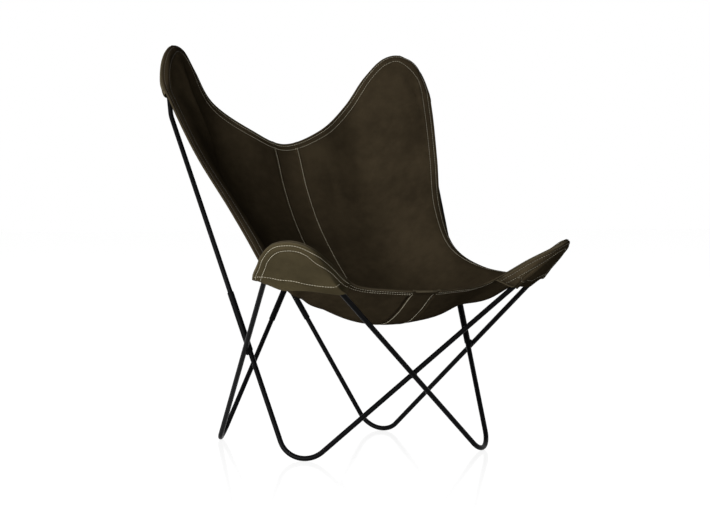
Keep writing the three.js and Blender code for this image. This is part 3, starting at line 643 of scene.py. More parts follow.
# Distances from an edge where a grid has its lines, so that the rim's relief is in the mesh
EDGE_STEPS = [0, 0.12, 0.35, 0.7, 1.15, 1.7, 2.3, 3, 3.8, 4.7, 5.6, 6.3, 7, 7.7, 8.4, 9.4, 10.8, 12.4, 14,
              15.6, 16.7, 17.4, 18, 18.6, 19.3, 20, 20.6, 21.4, 23, 25.5, 29, 33]
PANEL_WIDE, PANEL_LONG = 330.0, 1180.0
FIELD_STEP = 6.0


def shares_from(length, fine_start):
    """Shares of a length for a grid's lines: fine near its end, and near its start if asked."""
    places = set(np.arange(EDGE_STEPS[-1] + FIELD_STEP, length - EDGE_STEPS[-1], FIELD_STEP))
    places |= set(EDGE_STEPS) if fine_start else {0.0, *np.arange(FIELD_STEP, EDGE_STEPS[-1], FIELD_STEP)}
    places |= {length - d for d in EDGE_STEPS}
    return np.array(sorted(places)) / length


def grid_normals(p):
    """Normals of a grid; a place where its lines meet takes its neighbours' normal."""
    n = np.cross(np.gradient(p, axis=1), np.gradient(p, axis=0))
    size = np.linalg.norm(n, axis=2, keepdims=True)
    bad = size[..., 0] < 1e-9
    n = n / np.maximum(size, 1e-12)
    for _ in range(3):
        for i, j in zip(*np.nonzero(bad)):
            total = n[max(i - 1, 0):i + 2, max(j - 1, 0):j + 2].reshape(-1, 3).sum(0)
            if np.linalg.norm(total) > 1e-6:
                n[i, j] = unit(total)
        bad = np.linalg.norm(n, axis=2) < 0.5
    return n


def to_frame(p):
    return (np.asarray(p) - ORIGIN) * MM


def make_object(name, verts, faces, material, attributes=None, merge=0.02):
    """A smooth mesh that rides on the chair, with one value a point for each attribute."""
    mesh = bpy.data.meshes.new(name)
    mesh.from_pydata([tuple(v) for v in to_frame(verts)], [], faces)
    for key, values in (attributes or {}).items():
        layer = mesh.attributes.new(key, "FLOAT", "POINT")
        layer.data.foreach_set("value", np.asarray(values, np.float32))
    if merge:
        bm = bmesh.new()
        bm.from_mesh(mesh)
        bmesh.ops.remove_doubles(bm, verts=bm.verts, dist=merge * MM)
        bmesh.ops.recalc_face_normals(bm, faces=bm.faces)
        bm.to_mesh(mesh)
        bm.free()
    mesh.polygons.foreach_set("use_smooth", [True] * len(mesh.polygons))
    mesh.materials.append(material)
    obj = bpy.data.objects.new(name, mesh)
    bpy.context.scene.collection.objects.link(obj)
    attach(obj, "root")
    return obj


def sheet_object(name, p, n, top, bottom, material, attributes):
    """A closed skin between two offsets from a grid of places."""
    verts = np.concatenate([(p + n * offset[..., None]).reshape(-1, 3) for offset in (top, bottom)])
    index = np.arange(p.shape[0] * p.shape[1]).reshape(p.shape[:2])
    upper = np.stack([index[:-1, :-1], index[:-1, 1:], index[1:, 1:], index[1:, :-1]], axis=-1).reshape(-1, 4)
    both_faces = np.stack([upper, index.size + upper[:, ::-1]], axis=1).reshape(-1, 4)
    ring = np.concatenate([index[0, :-1], index[:-1, -1], index[-1, :0:-1], index[:0:-1, 0]])
    onward = np.roll(ring, -1)
    sides = np.stack([onward, ring, index.size + ring, index.size + onward], axis=-1)
    faces = np.concatenate([both_faces, sides]).tolist()
    both = {key: np.concatenate([v.ravel(), v.ravel()]) for key, v in attributes.items()}
    return make_object(name, verts, faces, material, both)


def ring_places(centre, a, b, radius, sides):
    """Points round a centre, from the way a towards the way b."""
    turns = 2 * math.pi * np.arange(sides) / sides
    return centre + (np.outer(np.cos(turns), a) + np.outer(np.sin(turns), b)) * radius


def ring_faces(count, sides, base=0, joined=False):
    """Faces between rings of points; the last ring joins the first, or else both ends are closed."""
    faces = []
    for i in range(count if joined else count - 1):
        here, there = base + i * sides, base + (i + 1) % count * sides
        for k in range(sides):
            m = (k + 1) % sides
            faces.append((here + k, here + m, there + m, there + k))
    if not joined:
        faces.append(tuple(range(base + sides - 1, base - 1, -1)))
        faces.append(tuple(range(base + (count - 1) * sides, base + count * sides)))
    return faces


def contours(field, level):
    """Lines where a grid's field has the level, as lists of places (row, column)."""
    above = field > level
    rows, cols = above.shape
    corners = sum(above[i:rows - 1 + i, j:cols - 1 + j].astype(int) for i in (0, 1) for j in (0, 1))
    links, points = {}, {}
    for i, j in zip(*np.nonzero(corners % 4)):
        hits = []
        for a, b in (((i, j), (i, j + 1)), ((i, j), (i + 1, j)),
                     ((i + 1, j), (i + 1, j + 1)), ((i, j + 1), (i + 1, j + 1))):
            if above[a] != above[b]:
                w = (level - field[a]) / (field[b] - field[a])
                points[a, b] = a[0] + (b[0] - a[0]) * w, a[1] + (b[1] - a[1]) * w
                hits.append((a, b))
        if len(hits) == 2:
            links.setdefault(hits[0], []).append(hits[1])
            links.setdefault(hits[1], []).append(hits[0])
    lines, seen = [], set()
    for start in sorted(links, key=lambda k: len(links[k])):
        if start in seen:
            continue
        line, here = [start], start
        seen.add(start)
        while True:
            onward = [k for k in links[here] if k not in seen]
            if not onward:
                break
            here = onward[0]
            seen.add(here)
            line.append(here)
        if len(line) > 3:
            lines.append([points[k] for k in line])
    return lines


def sample(grid, ij):
    """Bilinear value of a grid at fractional places."""
    ij = np.asarray(ij)
    i = np.clip(np.floor(ij[:, 0]).astype(int), 0, grid.shape[0] - 2)
    j = np.clip(np.floor(ij[:, 1]).astype(int), 0, grid.shape[1] - 2)
    a, b = ij[:, 0] - i, ij[:, 1] - j
    if grid.ndim == 3:
        a, b = a[:, None], b[:, None]
    return (grid[i, j] * (1 - a) * (1 - b) + grid[i + 1, j] * a * (1 - b)
            + grid[i, j + 1] * (1 - a) * b + grid[i + 1, j + 1] * a * b)


PITCH, STITCH, THREAD, THREAD_SIDES = 5.4, 4.5, 0.58, 6
# A stitch's rings: share along it, share of its thickness, height over the leather
STITCH_RINGS = [(0.0, 0.15, -0.55), (0.08, 0.8, -0.2), (0.3, 1.0, 0.12), (0.7, 1.0, 0.12),
                (0.92, 0.8, -0.2), (1.0, 0.15, -0.55)]


class Thread:
    """Collects single stitches, each a small bent capsule that dips into the leather at its ends."""

    def __init__(self):
        # Each point also keeps a share of painted shade for the thread's colour
        self.verts, self.faces, self.thread_shade = [], [], []

    def stitch(self, a, b, up, thread_shade):
        along = unit(b - a)
        side = unit(np.cross(up, along))
        up = np.cross(along, side)
        self.faces += ring_faces(len(STITCH_RINGS), THREAD_SIDES, len(self.verts))
        for share, size, lift in STITCH_RINGS:
            centre = a + (b - a) * share + up * lift
            self.verts.extend(ring_places(centre, side, up, THREAD * size, THREAD_SIDES))
            self.thread_shade += [thread_shade] * THREAD_SIDES

    def row(self, places, ups, thread_shade):
        """Stitches along a line of places on the leather."""
        lengths = lengths_to(places)
        count = int(lengths[-1] / PITCH)
        pitch = lengths[-1] / max(count, 1)
        for k in range(count):
            s = k * pitch + (pitch - STITCH) / 2
            a, b = place_at(places, lengths, s), place_at(places, lengths, s + STITCH)
            if np.linalg.norm(b - a) > 0.5 * STITCH:
                up = unit(place_at(ups, lengths, s + STITCH / 2))
                self.stitch(a, b, up, np.interp(s, lengths, thread_shade))

    def make(self, name, material, slot):
        return make_object(name, self.verts, self.faces, material, {"thread_shade": self.thread_shade}, 0)


# ---------------------------------------------------------------- materials


class Nodes:
    """Short calls for the node tree of a material or the world."""

    def __init__(self, owner, output="ShaderNodeOutputMaterial"):
        owner.use_nodes = True
        self.owner, self.tree = owner, owner.node_tree
        self.tree.nodes.clear()
        self.surface = self.add(output).inputs["Surface"]

    def add(self, kind, **values):
        node = self.tree.nodes.new(kind)
        for key, value in values.items():
            if key in node.inputs:
                node.inputs[key].default_value = value
            else:
                setattr(node, key, value)
        return node

    def link(self, a, b):
        self.tree.links.new(a, b)

    def plug(self, value, socket):
        """Links an output to the socket, or sets a number or a colour there."""
        if isinstance(value, (int, float)):
            socket.default_value = value
        elif isinstance(value, tuple):
            socket.default_value = (*value, 1)
        else:
            self.link(value, socket)

    def at_place(self, kind, **values):
        """A texture node that reads the place on the object."""
        node = self.add(kind, **values)
        self.link(self.add("ShaderNodeTexCoord").outputs["Object"], node.inputs["Vector"])
        return node

    def noise(self, scale, detail, rough):
        return self.at_place("ShaderNodeTexNoise", Scale=scale, Detail=detail, Roughness=rough).outputs["Fac"]

    def ramp(self, value, stops):
        node = self.add("ShaderNodeValToRGB")
        for element, (place, color) in zip(node.color_ramp.elements, stops):
            element.position, element.color = place, (*color, 1)
        self.link(value, node.inputs["Fac"])
        return node.outputs["Color"]

    def math(self, operation, a, b):
        node = self.add("ShaderNodeMath", operation=operation)
        self.plug(a, node.inputs[0])
        self.plug(b, node.inputs[1])
        return node.outputs[0]

    def mix(self, factor, a, b):
        node = self.add("ShaderNodeMix", data_type="RGBA")
        for key, value in ((0, factor), (6, a), (7, b)):
            self.plug(value, node.inputs[key])
        return node.outputs[2]

    def mix_shaders(self, factor, a, b):
        node = self.add("ShaderNodeMixShader")
        for value, socket in zip((factor, a.outputs[0], b.outputs[0]), node.inputs):
            self.plug(value, socket)
        return node

    def bump(self, height, strength, distance, normal=None):
        node = self.add("ShaderNodeBump", Strength=strength, Distance=distance)
        self.link(height, node.inputs["Height"])
        if normal is not None:
            self.link(normal, node.inputs["Normal"])
        return node.outputs["Normal"]

    def attribute(self, name):
        return self.add("ShaderNodeAttribute", attribute_name=name).outputs["Fac"]

    def finish(self, **values):
        """Ends a material in one Principled shader: numbers are set, sockets linked."""
        node = self.add("ShaderNodeBsdfPrincipled")
        for key, value in values.items():
            self.plug(value, node.inputs[key.replace("_", " ")])
        self.link(node.outputs[0], self.surface)
        return self.owner

    def seen(self):
        """1 for a ray from the camera, a reflection or a clear surface, 0 for other light."""
        path = self.add("ShaderNodeLightPath").outputs
        direct = self.math("MAXIMUM", path["Is Camera Ray"], path["Is Glossy Ray"])
        return self.math("MAXIMUM", direct, path["Is Transmission Ray"])


def material_nodes(name):
    return Nodes(bpy.data.materials.new(name))


def grey(value):
    return (value,) * 3


# The turned edge's colour: lighter from wear, and a painted highlight where the rim catches light
WORN_EDGE_AND_HIGHLIGHT_COLOR = (0.10, 0.085, 0.055)


def leather_material(name, dark, light):
    """Smooth leather: fine pebble grain, cloudy tone, lighter on the turned edge from wear and a painted
    highlight, and darkened by painted shade in the stitch grooves, on the shaded rim strip and in the
    pockets' tucks.
    """
    m = material_nodes(name)
    cloud = m.noise(6.0, 4.0, 0.6)
    mottle = m.noise(45.0, 3.0, 0.6)
    tone = m.math("ADD", m.math("MULTIPLY", cloud, 0.7), m.math("MULTIPLY", mottle, 0.3))
    color = m.ramp(tone, [(0.36, dark), (0.62, light)])
    # Lighter turned edge: partly wear, partly a painted highlight where the rim catches light
    color = m.mix(m.math("MULTIPLY", m.attribute("edge"), 0.55), color, WORN_EDGE_AND_HIGHLIGHT_COLOR)
    # Painted shade: darker in the stitch grooves, on the shaded rim strip and in the pockets' tucks
    color = m.mix(m.math("MULTIPLY", m.attribute("painted_shade"), 0.55), color, tuple(0.45 * c for c in dark))
    pebble = m.at_place("ShaderNodeTexVoronoi", Scale=620.0, Randomness=1.0)
    creases = m.at_place("ShaderNodeTexVoronoi", Scale=210.0, Randomness=1.0, feature="DISTANCE_TO_EDGE")
    lines = m.math("MINIMUM", m.math("MULTIPLY", creases.outputs["Distance"], 6.0), 1.0)
    fine = m.bump(pebble.outputs["Distance"], 0.18, 0.0004)
    mid = m.bump(lines, 0.10, 0.0005, fine)
    broad = m.bump(m.noise(28.0, 2.0, 0.5), 0.16, 0.004, mid)
    rough = m.ramp(m.noise(18.0, 3.0, 0.6), [(0.3, grey(0.52)), (0.7, grey(0.66))])
    return m.finish(Base_Color=color, Roughness=rough, Normal=broad, Specular_IOR_Level=0.0)


def steel_material(name, base, roughness, peel):
    """Black satin paint over steel rod, with a faint orange peel and rubbed places."""
    m = material_nodes(name)
    color = m.ramp(m.noise(9.0, 4.0, 0.6), [(0.35, base), (0.75, tuple(1.5 * c for c in base))])
    rough = m.ramp(m.noise(60.0, 3.0, 0.6), [(0.3, grey(roughness - 0.05)), (0.7, grey(roughness + 0.07))])
    bumps = m.bump(m.noise(900.0, 2.0, 0.5), peel, 0.0003)
    return m.finish(Base_Color=color, Roughness=rough, Normal=bumps, Specular_IOR_Level=0.035)


def thread_material():
    """Waxed linen thread, twisted, and darkened as painted shade where its rows lie in shade."""
    m = material_nodes("thread_waxed")
    color = m.ramp(m.noise(120.0, 3.0, 0.6), [(0.3, (0.30, 0.27, 0.195)), (0.7, (0.48, 0.44, 0.33))])
    # Painted shade: the attribute read here darkens the thread where its rows lie in shade
    color = m.mix(m.attribute("thread_shade"), color, (0.02, 0.0155, 0.0095))
    twist = m.at_place("ShaderNodeTexWave", Scale=900.0, Distortion=1.5)
    return m.finish(Base_Color=color, Roughness=0.7, Normal=m.bump(twist.outputs["Fac"], 0.4, 0.0002))


leather = leather_material("leather_olive_brown", (0.023, 0.0172, 0.0100), (0.038, 0.0286, 0.0165))
pocket_leather = leather_material("leather_pocket", (0.038, 0.0305, 0.0165), (0.054, 0.0435, 0.0235))
# Painted shade: a darker copy of the pocket leather, used for the right front pocket in place of the shade it
# lies in
shaded_pocket_leather = leather_material("leather_pocket_shaded", (0.031, 0.0235, 0.0135), (0.044, 0.0335, 0.0190))
steel = steel_material("paint_black_satin", (0.0017, 0.0017, 0.0019), 0.34, 0.12)
weld_paint = steel_material("paint_black_weld", (0.0024, 0.0024, 0.0027), 0.5, 0.5)
thread = thread_material()

# ---------------------------------------------------------------- rods, sleeves and welds

SAME_PLACE = 0.05
ANY_WAY = np.array([0.31, 0.62, 0.72])
BORE_GAP = 0.25
# Half sizes of a bead: along the rods, beside them, and through both
BEAD_ALONG, BEAD_BESIDE, BEAD_THROUGH = 8.4, 6.6, 5.2
BEAD_ROWS, BEAD_COLS, BEAD_RIPPLES = 16, 28, 9


def tube(name, path, radius, material, bore=0.0, bevel=0.6):
    """A round rod or sleeve along a path, with small rounded ends."""
    kept = path[:1]
    for p, way in path[1:]:
        if np.linalg.norm(p - kept[-1][0]) > SAME_PLACE:
            kept.append((p, way))
    normal = unit(np.cross(kept[0][1], ANY_WAY))
    rings = []
    for p, way in kept:
        normal = unit(normal - way * (normal @ way))
        rings.append((p, normal, np.cross(way, normal)))
    (first, *start), (last, *end) = rings[0], rings[-1]
    inward, back = kept[0][1] * bevel, kept[-1][1] * bevel
    rounds = [(1 - math.sin(a), radius - bevel * (1 - math.cos(a)))
              for a in (math.pi / 2, math.pi / 3, math.pi / 6, 0)]
    shape = [(first + inward * k, *start, r) for k, r in rounds]
    shape += [(*ring, radius) for ring in rings[1:-1]]
    shape += [(last - back * k, *end, r) for k, r in rounds[::-1]]
    if bore:
        shape += [(last, *end, bore), (last - back, *end, bore)]
        shape += [(first + inward, *start, bore), (first, *start, bore)]
    verts = np.vstack([ring_places(*ring, ROD_SIDES) for ring in shape])
    faces = ring_faces(len(shape), ROD_SIDES, joined=bore > 0)
    return make_object(name, verts, faces, material, merge=0.001)


for f in frames:
    horn_side, pin_side = ("right", "left") if f["side"] > 0 else ("left", "right")
    for kind, where in (("base_rod", horn_side), ("upright", pin_side)):
        piece = tube(f"rod_{kind}_{where}", rod_path(f, kind, ROD_STEPS), ROD / 2, steel)
        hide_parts(f"{kind}_{where}")
    for kind, sleeve, where in (("side", f["side_sleeve"], pin_side), ("back", f["back_sleeve"], horn_side)):
        axis = sleeve["axis"]
        path = [(sleeve["low"] + axis * s, axis) for s in (0, 1, SLEEVE_LENGTH - 1, SLEEVE_LENGTH)]
        piece = tube(f"tube_{kind}_{where}", path, SLEEVE / 2, steel, ROD / 2 + BORE_GAP, 0.8)
        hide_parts(f"sleeve_{kind}_{where}")


# Rippled beads that fill the corners on both sides of two crossing rods
for place, pair in CROSSINGS.items():
    first, second = (unit(loops[k][end] - loops[k][start]) for k, start, end in pair)
    p, q, _ = meet[place]
    across = unit(q - p)
    bisector = unit(first + facing(second, first))
    flank = np.cross(across, bisector)
    verts = []
    for a in np.linspace(0, math.pi, BEAD_ROWS + 1):
        for b in 2 * math.pi * np.arange(BEAD_COLS) / BEAD_COLS:
            ripple = math.sin(a) * (1 + 0.05 * math.cos(BEAD_RIPPLES * b) * math.sin(a))
            verts.append((p + q) / 2 + bisector * math.cos(b) * BEAD_ALONG * ripple
                         + flank * math.sin(b) * BEAD_BESIDE * ripple + across * math.cos(a) * BEAD_THROUGH)
    faces = ring_faces(BEAD_ROWS + 1, BEAD_COLS)
    piece = make_object(f"bead_{place}", verts, faces, weld_paint, merge=0.01)
    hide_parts(f"weld_{place}")

# ---------------------------------------------------------------- leather

# Distances from the edge in mm: the two rows of stitches and the turned strip's inner edge
ROW_OUTER, ROW_INNER, HEM = 7.0, 18.0, 20.4
ROWS = (ROW_OUTER, ROW_INNER)
ROLL, MOUTH_ROLL, TURNED = 2.5, 1.4, 1.8
# The turned strip's rise, and its relief: height, distance from the edge and half width
STRIP_RISE = 0.55
RELIEF = [(-0.62, row, 1.1) for row in ROWS] + [(0.25, 12.5, 3.2), (0.3, 3.6, 1.8)]
# Height in the skin at which both faces meet at the rim: of a panel or the band, and of a pocket
RIM_MEETS, POCKET_RIM_MEETS = -1.1, -1.35


def bell(x, width):
    return np.exp(-(x / width) ** 2)


def rim_rise(d):
    """Height over the plain skin near the edge: padded between the rows, drawn in at each row."""
    return (STRIP_RISE * smooth((HEM + 1.2 - d) / 2.4)
            + sum(height * bell(d - place, width) for height, place, width in RELIEF))


def roll(d, top, bottom, centre, radius=ROLL):
    """Rounds both faces into each other at the edge."""
    t = rounding(d / radius)
    return centre + (top - centre) * t, centre + (bottom - centre) * t


def rounding(share):
    return np.sqrt(np.clip(1 - (1 - np.clip(share, 0, 1)) ** 2, 0, 1))


# Share of the lighter edge colour by distance from the edge, partly wear and partly a painted highlight
def edge_wear_and_highlight(d):
    return smooth((2.8 - d) / 2.2)


# Painted shade in the grooves just inside each stitch row
def stitch_groove_shade(d):
    return np.maximum(*(bell(d - row - 0.2, 1.0) for row in ROWS))


rim_all = edge_curve(np.linspace(0, EDGE_COUNT, RIM_PLACES))
threads = {}


def normals_towards(p, way_from):
    """Normals of a grid, on the side that the way from its middle points to."""
    n = grid_normals(p)
    middle = p.shape[0] // 2, p.shape[1] // 2
    return -n if way_from(p[middle]) @ n[middle] < 0 else n


def pocket_zone(station):
    """1 where the edge at that station belongs to a pocket."""
    zone = np.zeros_like(station)
    for start, end in POCKETS.values():
        zone = np.maximum(zone, smooth((station - start) / 0.12) * smooth((end - station) / 0.12))
    return zone


def station_of(side, index):
    share = index / (len(rim_all) - 1) * EDGE_COUNT
    return share if side < 0 else EDGE_COUNT - share


def leather_piece(name, p, n, top, under, material, edge, painted_shade, stands_for):
    """A closed leather piece in its nodes' place."""
    piece = sheet_object(name, p, n, top, under, material, {"edge": edge, "painted_shade": painted_shade})
    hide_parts(*stands_for)


def rows_on(store, grid, normals, offset, field, levels, thread_shade=0.0, keep=None):
    """Stitch rows where the field has each level, on the skin at the given offset."""
    # The thread's painted shade, a value at each place of the field
    thread_shade = thread_shade + np.zeros_like(field)
    sign = 1.0 if np.mean(offset) > 0 else -1.0
    for line in (line for level in levels for line in contours(field, level)):
        parts = [np.array(line)]
        if keep is not None:
            ij = parts[0]
            good = sample(keep.astype(float), ij) > 0.5
            runs = np.split(np.arange(len(ij)), np.nonzero(np.diff(good.astype(int)))[0] + 1)
            parts = [ij[r] for r in runs if len(r) > 3 and good[r[0]]]
        for part in parts:
            ups = sample(normals, part)
            ups /= np.linalg.norm(ups, axis=1, keepdims=True)
            places = sample(grid, part) + ups * sample(offset, part)[:, None]
            store.row(places, ups * sign, sample(thread_shade, part))


# Painted shade: how much the edge's thread is darkened where its rows lie in shade, at stations along each
# side
THREAD_SHADE_ALONG_RIM = {
    "left": [(0, 0.15), (3.0, 0.5), (4.5, 0.97), (10, 0.97), (FRONT_CORNER - 1, 0.6), (FRONT_CORNER, 0)],
    "right": [(0, 0.15), (4.5, 0.3), (7, 0.6), (10, 0.5), (FRONT_CORNER, 0.1)],
}
# How much of the lighter edge tint, partly wear and partly a painted highlight, the turned edge shows along
# the same stations
EDGE_WEAR_AND_HIGHLIGHT = {
    "left": [(0, 0.5), (4, 0.6), (6, 0.6), (FRONT_CORNER, 1), (FRONT_CORNER + 6, 0.9), (FRONT_STATION, 0.3)],
    "right": [(0, 0.5), (4, 0.8), (FRONT_CORNER, 1), (FRONT_CORNER + 5, 0.8), (FRONT_CORNER + 7, 0.2)],
}
# Painted shade: how much the thread on each pocket is darkened where it lies in shade, and the share along a
# mouth from which painted shade darkens the tucked fold below its row
POCKET_THREAD_SHADE = {"back_left": 0.8, "back_right": 0.2, "front_left": 0.0, "front_right": 0.65}
TUCK_SHADE_FROM = {"front_left": 0.5, "front_right": 0.15}
# The share along a mouth where its row of stitches ends
MOUTH_ROW_END = {"back": 1, "front": 0.9}


def by_station(table, station):
    return np.interp(station, *zip(*table))


V_SHARES = shares_from(PANEL_LONG, True)
U_SHARES = shares_from(PANEL_WIDE, False)
for h in halves:
    name = h["name"]
    vv, uu = np.meshgrid(V_SHARES, U_SHARES, indexing="ij")
    p = crease(h, uu.ravel(), panel_at(h, uu.ravel(), vv.ravel())).reshape(*uu.shape, 3)
    n = normals_towards(p, to_sitter)
    d, where = curve_distance(p, rim_all)
    station = station_of(h["side"], where)
    zone = pocket_zone(station)
    # Painted shade of the thread at each place, by station along the rim
    thread_shade = by_station(THREAD_SHADE_ALONG_RIM[name], station)
    # Painted shade: the turned strip darkens where the thread's painted shade passes 0.6, which is along the
    # left back rim
    painted_rim_shade = smooth((thread_shade - 0.6) / 0.37) * smooth((HEM - d) / 2)
    top = LEATHER / 2 + rim_rise(d)
    under = -LEATHER / 2 - (TURNED + 0.4 * rim_rise(d)) * smooth((HEM - d) / 0.9) * (1 - zone)
    top, under = roll(d, top, under, RIM_MEETS + (POCKET_RIM_MEETS - RIM_MEETS) * zone)
    leather_piece(f"sling_{name}", p, n, top, under, leather,
                  edge_wear_and_highlight(d) * by_station(EDGE_WEAR_AND_HIGHLIGHT[name], station),
                  np.maximum(stitch_groove_shade(d), 0.8 * painted_rim_shade),
                  (f"sling_panel_{name}", f"hem_{name}"))
    store = threads[f"stitching_{name}"] = Thread()
    rows_on(store, p, n, top, d, ROWS, thread_shade)
    rows_on(store, p, n, under, d, ROWS, thread_shade, 1 - zone)

# Centre band, lapped over the panels' inner edges, with a row of stitches near each side
LAP, BAND_ROW, BAND_ROW_UNDER = 33.4, 30.0, 25.0
# Where it starts to rise over a panel, over what width, and how far its two faces rise
LAP_START, LAP_SLOPE, LAP_RISE, LAP_UNDER_RISE = 25.5, 3.0, 1.35, 2.45
BAND_SHARES = [-1.0, -0.99, -0.975, -0.955, -0.93, -0.9, -0.87, -0.84, -0.8, -0.76, -0.72, -0.6, -0.4, -0.2]
xs = np.array(BAND_SHARES + [0.0] + [-share for share in BAND_SHARES[::-1]]) * LAP
vv, xx = np.meshgrid(V_SHARES, xs, indexing="ij")
p = band_at(xx.ravel(), vv.ravel()).reshape(*xx.shape, 3)
n = normals_towards(p, to_sitter)
d, _ = curve_distance(p, rim_all)
off = np.abs(xx)
step = smooth((off - LAP_START) / LAP_SLOPE)
top = LEATHER / 2 + rim_rise(d) + LAP_RISE * step - 0.5 * bell(off - BAND_ROW, 0.9)
under = -LEATHER / 2 + LAP_UNDER_RISE * step - TURNED * smooth((HEM - d) / 0.9) * (1 - step)
t = 0.25 + 0.75 * rounding(LAP - off)
middle = (top + under) / 2
top, under = roll(d, middle + (top - middle) * t, middle + (under - middle) * t, RIM_MEETS)
# The band's edges take the lighter tint of wear and a painted highlight, and painted shade darkens its stitch
# grooves
leather_piece("sling_band", p, n, top, under, leather,
              np.maximum(edge_wear_and_highlight(d), 0.5 * smooth(1.2 - (LAP - off))),
              np.maximum(stitch_groove_shade(d), bell(off - BAND_ROW, 0.9)),
              ("sling_centre_band", "hem_top", "hem_front"))
store = threads["stitching_band"] = Thread()
rows_on(store, p, n, top, d, ROWS)
for offset, row in ((top, BAND_ROW), (under, BAND_ROW_UNDER)):
    rows_on(store, p, n, offset, xx, (-row, row), keep=d > ROW_INNER)

# Pockets: how far the mouth's row is from the mouth, at shares along it
MOUTH_ROW = {
    "back": [(0, 5), (0.08, 15), (0.92, 15), (1, 5)],
    "front": [(0, 5), (0.08, 17), (0.18, 27), (0.29, 34), (0.42, 31), (0.55, 22), (0.7, 21), (0.85, 24),
              (1, 28)],
}
# Distances from the rim and from the mouth where a pocket's grid has its lines
POCKET_REACH, POCKET_LINES = 120.0, 151
POCKET_FINE = [0, 0.3, 0.8, 1.4, 2.0, 2.8, 3.8, 5, 6.2, 7, 7.8, 9, 11, 13, 15, 16.8, 18, 19.2, 21, 24]
MOUTH_FINE = [0, 0.3, 0.8, 1.4, 2.2, 3.2, 4.5]
across = np.array(sorted(POCKET_FINE + list(np.arange(28, POCKET_REACH - 6, 4.0))
                         + [POCKET_REACH - k for k in MOUTH_FINE])) / POCKET_REACH
along = np.linspace(0, 1, POCKET_LINES)
for h in halves:
    for place in ("back", "front"):
        name = f"{place}_{h['name']}"
        p = pocket_grid(h, place, along, across)
        n = normals_towards(p, lambda _: -h[place]["out"])
        d, _ = curve_distance(p, p[:, 0].copy())
        dm, _ = curve_distance(p, p[:, -1].copy())
        steps = np.linalg.norm(np.diff(p, axis=1), axis=2)
        to_mouth = np.cumsum(steps[:, ::-1], axis=1)[:, ::-1]
        to_mouth = np.concatenate([to_mouth, np.zeros((len(along), 1))], axis=1)
        shares, heights = np.array(MOUTH_ROW[place], float).T
        curve = catmull(np.column_stack([shares * 100, heights]))(np.linspace(0, len(shares) - 1.001, 200))
        row = to_mouth - np.interp(along * 100, *curve.T)[:, None]
        outer = LEATHER / 2 + rim_rise(d) * smooth(dm / 3) - 0.5 * bell(row, 1.1) * smooth((d - 2) / 3)
        outer += 0.5 * smooth((2.5 - row) / 2)
        outer, inner = roll(d, outer, np.full_like(d, -LEATHER / 2), POCKET_RIM_MEETS)
        outer, inner = roll(dm, outer, inner, 0.0, MOUTH_ROLL)
        # Painted shade in the grooves of the rim's rows and of the mouth's row
        painted_shade = np.maximum(stitch_groove_shade(d), bell(row - 0.2, 1.0))
        # Painted shade: the leather below the mouth's row darkens from this share along the mouth, where the
        # tucked fold lies in shade
        if name in TUCK_SHADE_FROM:
            tuck_shade = smooth((along - TUCK_SHADE_FROM[name]) / 0.25)[:, None] * smooth(-row / 4)
            painted_shade = np.maximum(painted_shade, 0.85 * tuck_shade)
        # The right front pocket takes the darker copy of the pocket leather as painted shade
        leather_piece(f"pocket_{name}_skin", p, n, outer, inner,
                      shaded_pocket_leather if name == "front_right" else pocket_leather,
                      np.maximum(edge_wear_and_highlight(d), 0.8 * edge_wear_and_highlight(dm)), painted_shade,
                      (f"pocket_{name}",))
        store = threads[f"stitching_pocket_{name}"] = Thread()
        rows_on(store, p, n, outer, d, ROWS, POCKET_THREAD_SHADE[name], dm > 3)
        shown = (d > np.where(along < 0.5, 3.5, ROW_INNER)[:, None]) & (along < MOUTH_ROW_END[place])[:, None]
        rows_on(store, p, n, outer, row, (0.0,), POCKET_THREAD_SHADE[name], shown)

for name, store in threads.items():
    store.make(name, thread, "sling")

# ---------------------------------------------------------------- floor, light and camera

# Metres: the floor's half width, and how far it lies below the feet, so that the two don't meet
FLOOR_HALF, FLOOR_DROP = 30.0, 0.00025


def floor_material():
    """White where it is seen, with a faint reflection and shadow; a plain pale floor for other light."""
    m = material_nodes("floor_pale")
    plain = m.add("ShaderNodeBsdfDiffuse", Color=(0.85, 0.85, 0.85, 1))
    shade = m.add("ShaderNodeBsdfDiffuse", Color=(0.25, 0.25, 0.25, 1))
    gloss = m.add("ShaderNodeBsdfGlossy", Color=(1, 1, 1, 1), Roughness=0.10)
    glow = m.add("ShaderNodeEmission", Color=(1, 1, 1, 1), Strength=0.84)
    total = m.add("ShaderNodeAddShader")
    m.link(m.mix_shaders(0.14, shade, gloss).outputs[0], total.inputs[0])
    m.link(glow.outputs[0], total.inputs[1])
    m.link(m.mix_shaders(m.seen(), plain, total).outputs[0], m.surface)
    return m.owner


mesh = bpy.data.meshes.new("floor")
corners = [(x * FLOOR_HALF, y * FLOOR_HALF, -FLOOR_DROP) for x, y in ((-1, -1), (1, -1), (1, 1), (-1, 1))]
mesh.from_pydata(corners, [], [(0, 1, 2, 3)])
mesh.materials.append(floor_material())
floor = bpy.data.objects.new("floor", mesh)
bpy.context.scene.collection.objects.link(floor)

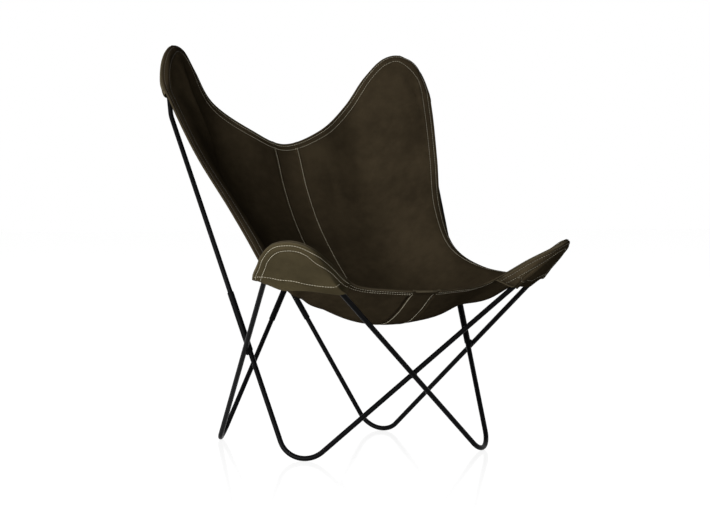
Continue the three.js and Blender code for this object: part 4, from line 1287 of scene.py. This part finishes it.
# The world gives little light, and is white where it is seen
world = bpy.data.worlds.new("studio")
bpy.context.scene.world = world
w = Nodes(world, "ShaderNodeOutputWorld")
lit, seen = (w.add("ShaderNodeBackground", Color=(1, 1, 1, 1), Strength=strength) for strength in (0.12, 1.0))
w.link(w.mix_shaders(w.seen(), lit, seen).outputs[0], w.surface)


def set_up(obj, right, up, back, spot):
    """Puts a lamp or the camera in the scene at the spot, in metres, looking away from back."""
    rows = [(*[float(v[k]) for v in (right, up, back)], float(spot[k])) for k in range(3)]
    obj.matrix_world = Matrix(rows + [(0, 0, 0, 1)])
    bpy.context.scene.collection.objects.link(obj)


def area_light(name, place, target, size, power):
    data = bpy.data.lights.new(name, "AREA")
    data.shape = "RECTANGLE"
    data.size, data.size_y = size
    data.energy = power
    back = unit(np.subtract(place, target))
    right = unit(np.cross(UP, back))
    set_up(bpy.data.objects.new(name, data), right, np.cross(back, right), back, place)


area_light("key", (-3.3, -1.7, 0.9), (0, 0, 0.45), (2.2, 1.8), 158)
area_light("top", (-1.0, 0.6, 3.0), (0, 0, 0.5), (1.6, 1.6), 5)
area_light("fill", (-2.3, -3.5, 0.6), (0, 0, 0.45), (1.4, 1.2), 45)

# Camera at the photograph's viewing angle: degrees, the focal length in pixels of an image that
# is 710 wide, the point at the middle of the image and how far off it is
AZIMUTH, ELEVATION, ROLLED = (math.radians(a) for a in (28.5, 1.45, 0.14))
FOCAL_PIXELS, WIDE, SENSOR = 1997.89, 710, 36.0
AIM, DISTANCE = np.array([25.97, 0.0, 424.77]), 4460.34
forward = np.array([math.sin(AZIMUTH) * math.cos(ELEVATION), math.cos(AZIMUTH) * math.cos(ELEVATION),
                    -math.sin(ELEVATION)])
right = np.array([math.cos(AZIMUTH), -math.sin(AZIMUTH), 0.0])
up = np.cross(right, forward)
data = bpy.data.cameras.new("camera")
data.sensor_fit = "HORIZONTAL"
data.sensor_width = SENSOR
data.lens = FOCAL_PIXELS * SENSOR / WIDE
camera = bpy.data.objects.new("camera", data)
set_up(camera, right * math.cos(ROLLED) + up * math.sin(ROLLED),
       up * math.cos(ROLLED) - right * math.sin(ROLLED), -forward, to_frame(AIM - forward * DISTANCE))
bpy.context.scene.camera = camera
bpy.context.scene.view_settings.view_transform = "Standard"
